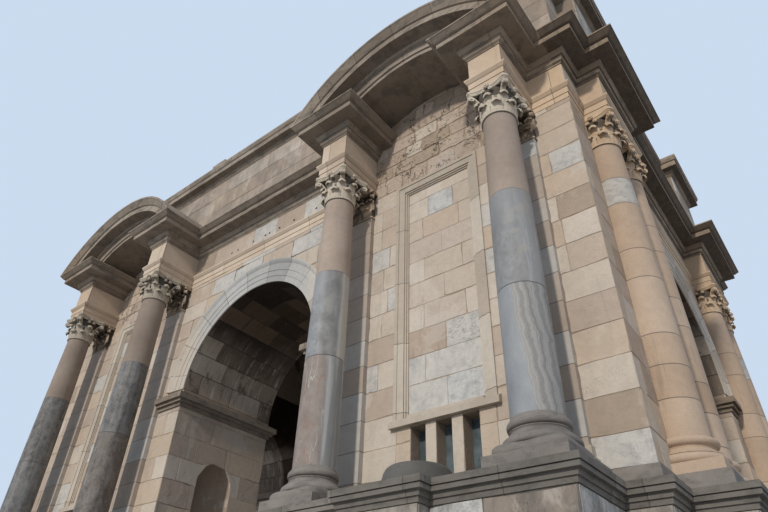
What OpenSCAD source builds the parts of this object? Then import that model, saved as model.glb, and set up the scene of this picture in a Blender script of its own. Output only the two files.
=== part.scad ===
// Four-way triumphal arch of ashlar limestone. Millimetres, +Z up.
// The origin is at ground level under the middle of the plan, and the main front faces -Y.

/* [Plan] */
// Radius of the four arches, which is half the width of the passages
arch_r = 2450; // [2400:10:2480]
// Distance from the edge of the main passage to the inner front column
col_gap = 1360; // [1300:10:1400]
// Distance between the two columns of a lateral bay
bay_w = 4400; // [4300:10:4500]
// Distance of the side wall face beyond the outer front column
corner_x = 1250; // [1200:10:1300]
// Distance from the edge of the side passage to the first engaged column
side_gap = 1070; // [1000:10:1100]
// Distance between the two engaged columns of a pair
side_pair = 1320; // [1280:10:1400]
// Distance of the front wall face beyond the outer engaged column
corner_y = 1230; // [1200:10:1260]
// Distance of the free column axes in front of the wall face
col_free = 880; // [850:10:920]
// Distance of the engaged column axes in front of the side wall face
side_col_out = 140; // [100:10:200]

/* [Columns] */
// Diameter of a column shaft at its foot
shaft_d = 800; // [760:10:820]
// Diameter of a column shaft at its neck
neck_d = 680; // [640:10:700]
// Height of the square plinth under a column base
plinth_h = 160; // [120:10:180]
// Half width of the square plinth
plinth_r = 570; // [550:10:580]
// Height of the round column base
base_h = 420; // [380:10:440]
// Height of a capital
capital_h = 850; // [820:10:880]
// Width of the flat pilasters behind the free columns
pilaster_w = 800; // [760:10:840]
// Projection of the pilasters from the wall
pilaster_out = 130; // [100:10:160]

/* [Walls] */
// Thickness of the outer walls
wall_t = 900; // [700:50:1000]
// Thickness of the walls beside the main passage
jamb_t = 1000; // [900:50:1100]
// Width of the piers beside the side passages, seen from the hall
side_jamb_t = 430; // [400:10:500]
// Depth of the side passages
side_depth = 2200; // [2100:50:2300]
// Thickness of the walls along the inner hall
hall_t = 600; // [500:50:700]

/* [Arches] */
// Width of the moulded archivolt around an arch
archivolt_w = 690; // [640:10:740]
// Width of the archivolts on the sides, which end short of the engaged columns
side_archivolt_w = 620; // [560:10:660]
// Projection of the archivolt from the wall
archivolt_out = 110; // [80:10:150]
// Projection of the impost cornice from the pier
impost_out = 200; // [120:10:240]
// Height of the impost cornice
impost_h = 340; // [300:10:360]
// Height of plain pier between the impost cornice and the springing line
impost_gap = 160; // [120:10:180]
// Width of a niche in the passage walls
niche_w = 1140; // [1000:10:1200]
// Height of a niche from its sill to the top of its round head
niche_h = 1970; // [1800:10:2000]
// Depth of the top of a niche below the springing line
niche_drop = 1680; // [1600:10:1800]
// Radius of the underside of the arched pediments
ped_in_r = 3080; // [3000:10:3150]
// Radius of the top of the arched pediments
ped_out_r = 4030; // [3980:10:4060]

/* [Bays] */
// Half width of the blind panel with its frame
panel_half_w = 1120; // [1080:10:1150]
// Width of the frame around the blind panel
frame_w = 290; // [260:10:320]
// Depth of the blind panel behind the wall face
panel_depth = 90; // [60:10:120]
// Distance of the panel from the middle of the bay, away from the passage
panel_shift = 40; // [0:10:60]
// Depth of the top of the frame below the architrave
frame_drop = 230; // [200:10:260]
// Width of a window under the panel
window_w = 330; // [280:10:360]
// Distance between the window middles
window_pitch = 560; // [520:10:600]
// Depth of the glass behind the wall face
glass_depth = 300; // [250:10:400]
// Radius of the round pedestal in front of each lateral bay
pedestal_r = 633; // [600:1:660]
// Height of the round pedestal above the podium
pedestal_h = 555; // [500:5:600]

/* [Heights] */
// Height of the podium
podium_z = 4060; // [3900:10:4200]
// Height of the podium cap
podium_cap_h = 175; // [160:5:190]
// Height of the moulding below the podium cap
podium_bed_h = 160; // [140:10:180]
// Height of the foot course of the podium
podium_foot_h = 420; // [350:10:500]
// Height of the plain course that the walls stand on
course_h = 210; // [180:10:240]
// Height of the sill below the blind panel, above the podium
sill_h = 1590; // [1540:10:1640]
// Height of the springing line above the podium
spring_h = 4290; // [4240:10:4340]
// Height of wall between the crown of an arch and the architrave
crown_h = 1210; // [1180:10:1240]
// Height of the architrave
architrave_h = 440; // [420:10:460]
// Height of the frieze
frieze_h = 720; // [700:10:740]
// Height of the main cornice with its bed mould
cornice_h = 650; // [620:10:680]
// Height of the attic wall
attic_h = 2780; // [2700:10:2860]
// Height of the attic cornice
attic_cornice_h = 620; // [560:10:640]
// Thickness of the roof slab
roof_t = 300; // [200:10:350]

/* [Projections] */
// Half width of the frieze over one column
frieze_half = 396; // [380:2:400]
// Projection of the architrave's crowning band
taenia_out = 92; // [80:2:100]
// Projection of the bed mould under the cornice
bed_out = 175; // [160:5:190]
// Projection of the flat cornice face
corona_out = 504; // [480:2:520]
// Projection of the top of the cornice
cyma_out = 673; // [650:1:690]
// Projection of the attic cornice
attic_out = 370; // [340:10:400]
// Projection of the attic wall over a pair of engaged columns
attic_break = 486; // [460:2:500]
// Projection of the podium cap from the podium
cap_out = 130; // [110:10:150]
// Distance of the podium face in front of the plinths
plinth_gap = 110; // [90:10:130]
// Projection of the podium under each lateral bay
apron_out = 270; // [240:10:300]
// Half width of that projection
apron_half = 710; // [680:10:740]

/* [Hidden] */

$fn = 96;
col_in_x = arch_r + col_gap;
col_out_x = col_in_x + bay_w;
bay_x = (col_in_x + col_out_x) / 2;
panel_x = bay_x + panel_shift;
wall_x = col_out_x + corner_x;
side_col_x = wall_x + side_col_out;
side_in_y = arch_r + side_gap;
side_out_y = side_in_y + side_pair;
wall_y = side_out_y + corner_y;
col_y = wall_y + col_free;
hall_y = arch_r + side_jamb_t;
hall_x = wall_x - side_depth;
room_x0 = arch_r + jamb_t;
room_x1 = wall_x - wall_t;
niche_y = (wall_y + hall_y) / 2;
block_r = plinth_r + 60;
podium_half = plinth_r + plinth_gap;
podium_front = col_y + podium_half;
pedestal_y = col_y - 130;

course_z = podium_z + course_h;
base_z = course_z + plinth_h;
shaft_z = base_z + base_h;
sill_z = podium_z + sill_h;
spring_z = podium_z + spring_h;
niche_top = spring_z - niche_drop;
architrave_z = spring_z + arch_r + crown_h;
frame_top_z = architrave_z - frame_drop;
neck_z = architrave_z - capital_h;
shaft_h = neck_z - shaft_z;
frieze_z = architrave_z + architrave_h;
cornice_z = frieze_z + frieze_h;
attic_z = cornice_z + cornice_h;
attic_cornice_z = attic_z + attic_h;
attic_top = attic_cornice_z + attic_cornice_h;
ped_out_x = col_in_x - frieze_half - cyma_out - bay_x;
ped_z = attic_z - sqrt(ped_out_r * ped_out_r - ped_out_x * ped_out_x);
front_face = col_y + frieze_half;
side_face = side_col_x + frieze_half;
cut = 10;
stone = [0.74, 0.66, 0.55];
pale = [0.80, 0.76, 0.68];
grey = [0.52, 0.51, 0.48];
marble = [0.56, 0.57, 0.58];

// A box given by its two opposite corners
module block(a, b) { translate(a) cube(b - a); }

// The four quarters of the plan, mirrored from the one with x > 0 and y < 0
module quarters() {
    for (mx = [0, 1], my = [0, 1])
        mirror([mx, 0, 0]) mirror([0, my, 0]) children();
}
module left_right() { for (mx = [0, 1]) mirror([mx, 0, 0]) children(); }
module front_back() { for (my = [0, 1]) mirror([0, my, 0]) children(); }

// Podium outline of one quarter, pushed outwards by d from the die
function podium_outline(d) = let (
    pier_y = wall_y + 20, pier_x = wall_x + 60, side_half = side_pair / 2 + podium_half - 240,
    side_y = (side_in_y + side_out_y) / 2, side_x = side_col_x + podium_half + 90)
    [[arch_r - d, -arch_r + d], [arch_r - d, -pier_y - d], [col_in_x - podium_half - d, -pier_y - d],
     [col_in_x - podium_half - d, -podium_front - d], [panel_x - apron_half - d, -podium_front - d],
     [panel_x - apron_half - d, -podium_front - apron_out - d],
     [panel_x + apron_half + d, -podium_front - apron_out - d],
     [panel_x + apron_half + d, -podium_front - d], [col_out_x + podium_half + d, -podium_front - d],
     [col_out_x + podium_half + d, -pier_y - d], [pier_x + d, -pier_y - d],
     [pier_x + d, -side_y - side_half - d], [side_x + d, -side_y - side_half - d],
     [side_x + d, -side_y + side_half + d], [pier_x + d, -side_y + side_half + d], [pier_x + d, -arch_r + d]];
module podium_layer(z0, z1, d) {
    translate([0, 0, z0]) linear_extrude(z1 - z0) polygon(podium_outline(d));
}
// Die with a plinth course, a sloping step and the bed mould under the cap
module podium_dies() {
    bed_z = podium_z - podium_cap_h - podium_bed_h;
    color(grey) quarters() {
        podium_layer(0, podium_foot_h, 110);
        podium_layer(podium_foot_h, podium_foot_h + 90, 60);
        podium_layer(podium_foot_h + 90, bed_z, 0);
        podium_layer(bed_z, bed_z + podium_bed_h * 0.5, cap_out * 0.2);
        podium_layer(bed_z + podium_bed_h * 0.5, podium_z - podium_cap_h, cap_out * 0.42);
    }
}
// Cap with a flat face, a groove and a slightly prouder top band
module podium_caps() {
    z = podium_z - podium_cap_h;
    color(grey) quarters() {
        podium_layer(z, z + podium_cap_h * 0.36, cap_out * 0.9);
        podium_layer(z + podium_cap_h * 0.36, z + podium_cap_h * 0.46, cap_out * 0.72);
        podium_layer(z + podium_cap_h * 0.46, podium_z, cap_out);
    }
}

// Plain course under the walls, with a square block under each column
module wall_courses() {
    color(stone) quarters() {
        block([arch_r, -wall_y - 40, podium_z], [wall_x + 40, -arch_r, course_z]);
        for (x = [col_in_x, col_out_x])
            block([x - block_r, -col_y - block_r, podium_z], [x + block_r, -wall_y, course_z]);
        block([wall_x, -side_out_y - plinth_r, podium_z],
              [side_col_x + block_r, -side_in_y + plinth_r, course_z]);
    }
}

// Outer wall of one lateral bay, with its recessed panel and three windows. The inner steps of the
// frame sit in the recess and are frame_step wide
frame_step = 75;
window_foot = course_z + 180;
window_head = sill_z - 20;
sill_t = 230;
module bay_wall() {
    inner = panel_half_w - frame_w + frame_step;
    difference() {
        block([room_x0, -wall_y, course_z], [wall_x, -wall_y + wall_t, architrave_z]);
        block([panel_x - inner, -wall_y - cut, sill_z],
              [panel_x + inner, -wall_y + panel_depth, frame_top_z - frame_w + frame_step]);
        for (k = [-1, 0, 1])
            block([panel_x + k * window_pitch - window_w / 2, -wall_y - cut, window_foot],
                  [panel_x + k * window_pitch + window_w / 2, -wall_y + wall_t + cut, window_head]);
    }
}
module front_walls() { color(stone) left_right() bay_wall(); }
module back_walls() { color(stone) mirror([0, 1, 0]) left_right() bay_wall(); }

// Side wall behind a pair of engaged columns
module side_wall() {
    block([room_x1, -wall_y + wall_t, course_z], [wall_x, -hall_y, architrave_z]);
}
module side_walls() { color(stone) quarters() side_wall(); }

// Wall beside the main passage, with a round-headed niche
module passage_jambs() {
    head_z = niche_top - niche_w / 2;
    foot_z = niche_top - niche_h;
    color(stone) quarters() difference() {
        block([arch_r, -wall_y, course_z], [room_x0, -hall_y, spring_z]);
        translate([arch_r, -niche_y, head_z]) {
            translate([0, 0, foot_z - head_z]) cylinder(h = head_z - foot_z, d = niche_w);
            sphere(d = niche_w);
        }
    }
}
module side_jambs() {
    color(stone) quarters() block([hall_x, -hall_y, course_z], [wall_x, -arch_r, spring_z]);
}
module hall_walls() {
    color(stone) quarters() block([room_x0, -hall_y - hall_t, course_z], [room_x1, -hall_y, architrave_z]);
}

// Wall over the main passage with the barrel vault cut through it
module main_arch() {
    difference() {
        block([-room_x0, -wall_y, spring_z], [room_x0, -hall_y, architrave_z]);
        translate([0, -hall_y + cut, spring_z]) rotate([90, 0, 0])
            cylinder(h = wall_y - hall_y + 2 * cut, r = arch_r);
    }
}
module side_arch() {
    difference() {
        block([hall_x, -hall_y, spring_z], [wall_x, hall_y, architrave_z]);
        translate([hall_x - cut, 0, spring_z]) rotate([0, 90, 0])
            cylinder(h = wall_x - hall_x + 2 * cut, r = arch_r);
    }
}
module main_arches() { color(stone) front_back() main_arch(); }
module side_arches() { color(stone) left_right() side_arch(); }

// Archivolt: a half ring of three fasciae and a crowning band, drawn as radius and projection
module archivolt_ring(w) {
    p = archivolt_out;
    rotate_extrude(angle = 180) translate([arch_r, 0])
        polygon([[0, 0], [0, p * 0.3], [w * 0.25, p * 0.3], [w * 0.25, p * 0.42], [w * 0.5, p * 0.42],
                 [w * 0.5, p * 0.55], [w * 0.8, p * 0.55], [w * 0.86, p * 0.8], [w * 0.93, p], [w, p], [w, 0]]);
}
module archivolts() {
    color(pale) {
        front_back() translate([0, -wall_y, spring_z]) rotate([90, 0, 0]) archivolt_ring(archivolt_w);
        left_right() translate([wall_x, 0, spring_z]) rotate([90, 0, 90]) archivolt_ring(side_archivolt_w);
    }
}

// Impost cornice, wrapped around the pier from the front into the passage
module impost_bar(x0, x1, y0, y1, x_front) {
    z1 = spring_z - impost_gap;
    module step(out, z0) {
        block([x0 - out, y0 - out, z0], [x1, y1 + out, z1]);
        block([x0 - out, y0 - out, z0], [x_front, y0, z1]);
    }
    difference() {
        union() {
            step(impost_out, z1 - impost_h * 0.45);
            step(impost_out * 0.6, z1 - impost_h * 0.7);
            step(impost_out * 0.25, z1 - impost_h);
        }
        block([x0, y0, z1 - impost_h - 1], [x1 + x_front, y1, z1 + 1]);
        block([x0 + 300, y1 - 1, z1 - impost_h - 1], [x1 + x_front, y1 + impost_out + 1, z1 + 1]);
    }
}
module imposts() {
    color(stone) quarters() {
        impost_bar(arch_r, arch_r + jamb_t, -wall_y, -hall_y, arch_r + archivolt_w);
        mirror([0, 1, 0]) rotate([0, 0, 90])
            impost_bar(arch_r, hall_y, -wall_x, -hall_x, arch_r + side_archivolt_w);
    }
}

// Mitred frame around the blind panel: a raised outer band, a slope and two steps down to the panel,
// each given as distance in from the outer edge and projection from the wall
frame_p = [[0, 50], [75, 50], [80, 28], [frame_w - frame_step, 8], [frame_w - frame_step, -20], [frame_w - 35, -20],
           [frame_w - 35, -50], [frame_w, -50], [frame_w, -panel_depth]];
module frame_hollow() {
    half = panel_half_w;
    n = len(frame_p) - 1;
    top = frame_top_z;
    near = [for (k = [1 : n]) [-half + frame_p[k][0], -wall_y - frame_p[k][1]]];
    intersection() {
        translate([panel_x, 0, sill_z - 200]) linear_extrude(frame_top_z)
            polygon(concat([[-near[0][0], -wall_y - 100]], [[near[0][0], -wall_y - 100]], near,
                           [for (k = [n - 1 : -1 : 0]) [-near[k][0], near[k][1]]]));
        translate([panel_x - 2 * half, 0, 0]) rotate([90, 0, 90]) linear_extrude(4 * half)
            polygon(concat([[-wall_y - 100, sill_z - 200], [-wall_y - 100, top - frame_p[1][0]]],
                           [for (k = [1 : n]) [-wall_y - frame_p[k][1], top - frame_p[k][0]]],
                           [[-wall_y + panel_depth, sill_z - 200]]));
    }
}
module sill() {
    half = panel_half_w + 60;
    translate([panel_x - half, 0, sill_z]) rotate([90, 0, 90]) linear_extrude(2 * half)
        polygon([[-wall_y, 0], [-wall_y - 110, 0], [-wall_y - 110, sill_t * 0.5],
                 [-wall_y - 80, sill_t * 0.56], [-wall_y, sill_t * 0.8]]);
    block([panel_x - panel_half_w + frame_w, -wall_y, sill_z],
          [panel_x + panel_half_w - frame_w, -wall_y + panel_depth, sill_z + sill_t]);
}
module panel_frames() {
    step_w = panel_half_w - frame_w + frame_step;
    color(pale) quarters() {
        difference() {
            union() {
                block([panel_x - panel_half_w, -wall_y - frame_p[0][1], sill_z],
                      [panel_x + panel_half_w, -wall_y, frame_top_z]);
                block([panel_x - step_w, -wall_y, sill_z],
                      [panel_x + step_w, -wall_y + panel_depth, frame_top_z - panel_half_w + step_w]);
            }
            frame_hollow();
        }
        sill();
    }
}
module window_glass() {
    color([0.30, 0.38, 0.42, 0.6]) quarters()
        for (k = [-1, 0, 1])
            block([panel_x + k * window_pitch - window_w / 2, -wall_y + glass_depth, window_foot],
                  [panel_x + k * window_pitch + window_w / 2, -wall_y + glass_depth + 30, window_head]);
}

// Low round pedestal on the podium before each blind panel
module bay_pedestals() {
    r = pedestal_r;
    color(grey) quarters() translate([bay_x, -pedestal_y, podium_z]) rotate_extrude()
        polygon([[0, 0], [r, 0], [r, pedestal_h - 25], [r - 25, pedestal_h], [0, pedestal_h]]);
}

// Attic base: torus, scotia and torus, drawn from the plinth up
module attic_base() {
    r = shaft_d / 2;
    rotate_extrude() union() {
        polygon([[0, 0], [r + 90, 0], [r + 90, base_h * 0.36], [r + 110, base_h * 0.37],
                 [r + 110, base_h * 0.42], [r + 40, base_h * 0.5], [r + 6, base_h * 0.6],
                 [r + 14, base_h * 0.66], [r + 30, base_h * 0.68], [r + 30, base_h * 0.99],
                 [r, base_h], [0, base_h]]);
        translate([r + 92, base_h * 0.18]) circle(r = base_h * 0.175);
        translate([r + 22, base_h * 0.84]) circle(r = base_h * 0.15);
    }
}
module base_and_plinth() {
    block([-plinth_r, -plinth_r, 0], [plinth_r, plinth_r, plinth_h]);
    translate([0, 0, plinth_h]) attic_base();
}
module column_bases() {
    color(pale) quarters() for (x = [col_in_x, col_out_x]) translate([x, -col_y, course_z]) base_and_plinth();
}
module side_column_bases() {
    color(pale) quarters() for (y = [side_in_y, side_out_y]) difference() {
        translate([side_col_x, -y, course_z]) base_and_plinth();
        block([side_col_x - 2 * block_r, -y - 2 * block_r, course_z - 1], [wall_x, -y + 2 * block_r, shaft_z + 1]);
    }
}

// Shaft radius at height h above its foot, straight for a third and then curving in
function shaft_r(h) = let (t = max(0, h / shaft_h - 0.3) / 0.7)
    shaft_d / 2 - (shaft_d - neck_d) / 2 * pow(t, 1.6);
module shaft_part(h0, h1) {
    steps = 5;
    translate([0, 0, shaft_z]) rotate_extrude()
        polygon([[0, h0], for (k = [0 : steps]) let (h = h0 + (h1 - h0) * k / steps) [shaft_r(h), h], [0, h1]]);
}
marble_h = shaft_h * 0.664;
module marble_drums() {
    color(marble) quarters() for (x = [col_in_x, col_out_x]) translate([x, -col_y, 0]) shaft_part(0, marble_h);
}
module upper_drums() {
    color(stone) quarters() for (x = [col_in_x, col_out_x]) translate([x, -col_y, 0]) shaft_part(marble_h, shaft_h);
}
module side_shafts() {
    color(stone) quarters() for (y = [side_in_y, side_out_y]) difference() {
        translate([side_col_x, -y, 0]) shaft_part(0, shaft_h);
        block([side_col_x - 2 * shaft_d, -y - shaft_d, shaft_z - 1], [wall_x, -y + shaft_d, neck_z + 1]);
    }
}

// Corinthian capital: a bell with two rows of eight curling leaves, corner volutes, a rosette in the
// middle of each side and a hollow-sided abacus with cut corners
abacus_h = capital_h * 0.14;
abacus_half = neck_d * 0.735;
bell_r = neck_d / 2;
leaf_low = capital_h * 0.34;
leaf_high = capital_h * 0.61;
ring_h = 50;
// Side profile of a leaf that is h high and t thick, its tip curling out by out, on a face r from the axis
function leaf_p(r, h, out, t, foot) = [[r - 60, foot], [r + t, foot], [r + t + 16, h * 0.45], [r + t + 40, h * 0.7],
    [r + out, h * 0.84], [r + out + 12, h * 0.92], [r + out - 12, h], [r + out * 0.62, h - 12], [r - 60, h * 0.8]];
// Front outline of a leaf: a tongue w wide with a round tip
module tongue(w, h) {
    translate([-w / 2, -ring_h]) square([w, h - w / 2 + ring_h]);
    translate([0, h - w / 2]) circle(d = w);
}
module leaf(r, w, h, out, t, foot) {
    intersection() {
        translate([0, w / 2, 0]) rotate([90, 0, 0]) linear_extrude(w) polygon(leaf_p(r, h, out, t, foot));
        translate([r - 100, 0, 0]) rotate([90, 0, 90]) linear_extrude(2 * out + 200) tongue(w, h + 8);
    }
}
module low_leaf(r, out = 110, t = 62) { leaf(r, neck_d * 0.37, leaf_low, out, t, -8); }
module high_leaf(r, out = 150, t = 24) { leaf(r, neck_d * 0.34, leaf_high, out, t, -24); }
module volute() { rotate([90, 0, 0]) cylinder(h = neck_d * 0.176, r = neck_d * 0.118, center = true); }
module rosette(out) { rotate([0, 90, 0]) cylinder(h = out, r = abacus_h * 0.47); }
module abacus() {
    difference() {
        block([-abacus_half, -abacus_half, capital_h - abacus_h], [abacus_half, abacus_half, capital_h]);
        for (a = [0 : 90 : 270]) rotate([0, 0, a]) translate([abacus_half * 2.8, 0, capital_h / 2])
            cylinder(h = capital_h + 1, r = abacus_half * 1.98, center = true);
        for (a = [45 : 90 : 315]) rotate([0, 0, a])
            block([abacus_half * 1.32, -abacus_half, capital_h - abacus_h - 1],
                  [abacus_half * 2, abacus_half, capital_h + 1]);
    }
}
volute_z = capital_h - abacus_h - neck_d * 0.115;
module capital() {
    rotate_extrude() polygon([[0, 0], [bell_r + 28, 0], [bell_r + 36, 18], [bell_r + 28, ring_h], [bell_r, ring_h],
                              [bell_r, capital_h * 0.52], [bell_r + 60, capital_h * 0.75],
                              [bell_r + 85, capital_h - abacus_h], [0, capital_h - abacus_h]]);
    for (a = [0 : 45 : 315]) {
        rotate([0, 0, a + 22.5]) translate([0, 0, ring_h]) low_leaf(bell_r);
        rotate([0, 0, a]) translate([0, 0, ring_h]) high_leaf(bell_r);
    }
    abacus();
    for (a = [45 : 90 : 315]) rotate([0, 0, a]) translate([abacus_half * 1.16, 0, volute_z]) volute();
    for (a = [0 : 90 : 270]) rotate([0, 0, a]) translate([bell_r + 20, 0, capital_h - abacus_h / 2]) rosette(110);
}
module front_capitals() {
    color(pale) left_right() for (x = [col_in_x, col_out_x]) translate([x, -col_y, neck_z]) capital();
}
module back_capitals() { mirror([0, 1, 0]) front_capitals(); }
module side_capitals() {
    color(pale) quarters() for (y = [side_in_y, side_out_y]) difference() {
        translate([side_col_x, -y, neck_z]) capital();
        block([side_col_x - 2 * neck_d, -y - neck_d, neck_z - 1], [wall_x, -y + neck_d, architrave_z + 1]);
    }
}

// Flat pilasters behind the free columns
module pilaster_row() { quarters() for (x = [col_in_x, col_out_x]) translate([x, -wall_y, 0]) children(); }
module pilasters() {
    color(pale) pilaster_row()
        block([-pilaster_w / 2, -pilaster_out, base_z + 200], [pilaster_w / 2, 0, neck_z]);
}
module pilaster_bases() {
    color(pale) pilaster_row() {
        block([-pilaster_w / 2 - 90, -pilaster_out - 90, course_z], [pilaster_w / 2 + 90, 0, base_z]);
        block([-pilaster_w / 2 - 40, -pilaster_out - 40, base_z], [pilaster_w / 2 + 40, 0, base_z + 200]);
    }
}
module pilaster_capitals() {
    half = pilaster_w / 2;
    pitch = half * 0.675;
    color(pale) pilaster_row() translate([0, 0, neck_z]) {
        block([-half, -pilaster_out, 0], [half, 0, capital_h - abacus_h]);
        block([-half - 24, -pilaster_out - 24, 0], [half + 24, 0, ring_h]);
        block([-half - 90, -pilaster_out - 130, capital_h - abacus_h], [half + 90, 0, capital_h]);
        translate([0, -pilaster_out, ring_h]) rotate([0, 0, -90]) {
            for (k = [-1 : 1]) translate([0, k * pitch, 0]) low_leaf(0, 90, 40);
            for (k = [-1, 1]) translate([0, k * pitch, 0]) high_leaf(0, 125, 14);
        }
        for (k = [-1, 1])
            translate([k * (half + 20), -pilaster_out - 30, volute_z]) rotate([0, 0, k * 45]) volute();
        translate([0, -pilaster_out - 20, capital_h - abacus_h / 2]) rotate([0, 0, -90]) rosette(130);
    }
}

// Profiles of the entablature, as projection and height
fascia_out = taenia_out * 0.13;
architrave_p = [[fascia_out, 0], [fascia_out, architrave_h * 0.34], [taenia_out * 0.3, architrave_h * 0.34],
                [taenia_out * 0.3, architrave_h * 0.7], [taenia_out * 0.5, architrave_h * 0.74],
                [taenia_out, architrave_h * 0.91], [taenia_out, architrave_h]];
frieze_p = [[0, 0], [0, frieze_h]];
bed_h = cornice_h * 0.507;
corona_z = cornice_h * 0.73;
cornice_p = [[bed_out * 0.12, 0], [bed_out * 0.12, bed_h * 0.09], [bed_out * 0.38, bed_h * 0.23],
             [bed_out * 0.5, bed_h * 0.45], [bed_out * 0.5, bed_h * 0.5], [bed_out * 0.7, bed_h * 0.55],
             [bed_out, bed_h * 0.9], [bed_out, bed_h], [corona_out, bed_h], [corona_out, corona_z],
             [corona_out + 30, corona_z + 10], [corona_out + 60, corona_z + 30], [cyma_out - 20, cornice_h * 0.92],
             [cyma_out, cornice_h * 0.94], [cyma_out, cornice_h]];

// A moulded block: p is the profile, lo and hi are the corners of the frieze face below it, and the
// four flags say which sides are moulded, in the order low x, high x, low y, high y
function outline(p, a, b, low, high, z) = concat(
    [for (q = p) [high ? b + q[0] : b, z + q[1]]],
    [for (k = [len(p) - 1 : -1 : 0]) [low ? a - p[k][0] : a, z + p[k][1]]]);
module moulded(p, z, lo, hi, f) {
    far = cyma_out + 100;
    intersection() {
        translate([0, hi[1] + far, 0]) rotate([90, 0, 0]) linear_extrude(hi[1] - lo[1] + 2 * far)
            polygon(outline(p, lo[0], hi[0], f[0], f[1], z));
        translate([lo[0] - far, 0, 0]) rotate([90, 0, 90]) linear_extrude(hi[0] - lo[0] + 2 * far)
            polygon(outline(p, lo[1], hi[1], f[2], f[3], z));
    }
}
// Middle of the front, between the lateral bays, breaking forward over the two inner columns
module front_run(p, z) {
    moulded(p, z, [-col_in_x - frieze_half, -wall_y], [col_in_x + frieze_half, -wall_y + wall_t],
            [false, false, true, false]);
    for (x = [-col_in_x, col_in_x])
        moulded(p, z, [x - frieze_half, -front_face], [x + frieze_half, -wall_y], [true, true, true, false]);
}
// Right side from the outer front column round to the outer back column
module side_run(p, z) {
    x0 = col_out_x - frieze_half;
    difference() {
        moulded(p, z, [x0, -wall_y], [wall_x, wall_y], [false, true, true, true]);
        block([x0 - cut, -wall_y + wall_t, z - cut], [room_x1, wall_y - wall_t, z + 2 * cornice_h]);
    }
    front_back() {
        moulded(p, z, [x0, -front_face], [col_out_x + frieze_half, -wall_y], [true, true, true, false]);
        moulded(p, z, [wall_x, -side_out_y - frieze_half], [side_face, -side_in_y + frieze_half],
                [false, true, true, true]);
    }
}
module front_architrave() { color(stone) front_run(architrave_p, architrave_z); }
module back_architrave() { mirror([0, 1, 0]) front_architrave(); }
module right_architrave() { color(stone) side_run(architrave_p, architrave_z); }
module left_architrave() { mirror([1, 0, 0]) right_architrave(); }
module front_frieze() { color(stone) front_run(frieze_p, frieze_z); }
module back_frieze() { mirror([0, 1, 0]) front_frieze(); }
module right_frieze() { color(stone) side_run(frieze_p, frieze_z); }
module left_frieze() { mirror([1, 0, 0]) right_frieze(); }
module front_cornice() { color(stone) front_run(cornice_p, cornice_z); }
module back_cornice() { mirror([0, 1, 0]) front_cornice(); }
module right_cornice() { color(stone) side_run(cornice_p, cornice_z); }
module left_cornice() { mirror([1, 0, 0]) right_cornice(); }

// Wall between the breaks of the entablature, under the arched pediment
module bay_upper_walls() {
    color(stone) quarters() block([col_in_x + frieze_half, -wall_y, architrave_z],
                                  [col_out_x - frieze_half, -wall_y + wall_t, attic_z]);
}

// Arched pediment over a lateral bay, turned about a level axis and cut off at the cornice top
module pediments() {
    y_top = front_face + cyma_out;
    y_corona = front_face + corona_out;
    y_band = front_face + 40;
    color(stone) quarters() intersection() {
        translate([bay_x, 0, ped_z]) rotate([90, 0, 0]) rotate_extrude(angle = 180, $fn = 360)
            polygon([[ped_in_r, wall_y], [ped_in_r, y_band], [ped_in_r + 120, y_band], [ped_in_r + 130, y_band + 40],
                     [ped_in_r + 330, y_band + 40], [ped_in_r + 380, y_band + 110], [ped_in_r + 480, y_band + 130],
                     [ped_in_r + 480, y_corona], [ped_in_r + 680, y_corona], [ped_in_r + 700, y_corona + 40],
                     [ped_out_r - 80, y_top - 20], [ped_out_r - 60, y_top], [ped_out_r, y_top], [ped_out_r, wall_y]]);
        block([0, -2 * col_y, attic_z], [3 * bay_x, -wall_y, 2 * attic_z]);
    }
}

// Barrel vault of the hall and the walls that close its ends
module half_round(r, x0, x1) {
    intersection() {
        translate([x0, 0, architrave_z]) rotate([0, 90, 0]) cylinder(h = x1 - x0, r = r);
        block([x0, -r, architrave_z], [x1, r, architrave_z + r]);
    }
}
module hall_vault() {
    x1 = hall_x + hall_t;
    color(grey) difference() {
        half_round(hall_y + hall_t, -x1, x1);
        translate([-x1 - cut, 0, architrave_z]) rotate([0, 90, 0]) cylinder(h = 2 * x1 + 2 * cut, r = hall_y);
    }
}
module hall_lunettes() { color(stone) left_right() half_round(hall_y, hall_x, hall_x + hall_t); }

// Attic storey over the main cornice, breaking forward over the side columns
module attic_walls() {
    color(pale) difference() {
        union() {
            block([-wall_x, -wall_y, attic_z], [wall_x, wall_y, attic_cornice_z]);
            quarters() block([wall_x - 10, -side_out_y - frieze_half, attic_z],
                             [wall_x + attic_break, -side_in_y + frieze_half, attic_cornice_z]);
        }
        block([-wall_x + wall_t, -wall_y + wall_t, attic_z - 1],
              [wall_x - wall_t, wall_y - wall_t, attic_cornice_z + 1]);
    }
}
attic_face = attic_out - 70;
attic_p = [[0, 0], [attic_out * 0.11, attic_cornice_h * 0.1], [attic_out * 0.24, attic_cornice_h * 0.26],
           [attic_out * 0.3, attic_cornice_h * 0.32], [attic_face, attic_cornice_h * 0.34],
           [attic_face, attic_cornice_h * 0.65], [attic_face + 30, attic_cornice_h * 0.69],
           [attic_out, attic_cornice_h * 0.87], [attic_out, attic_cornice_h]];
module attic_cornice() {
    z = attic_cornice_z;
    color(stone) difference() {
        union() {
            moulded(attic_p, z, [-wall_x, -wall_y], [wall_x, wall_y], [true, true, true, true]);
            quarters() moulded(attic_p, z, [wall_x, -side_out_y - frieze_half],
                               [wall_x + attic_break, -side_in_y + frieze_half], [false, true, true, true]);
        }
        block([-wall_x + wall_t, -wall_y + wall_t, z - 1],
              [wall_x - wall_t, wall_y - wall_t, z + 2 * attic_cornice_h]);
    }
}
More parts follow.
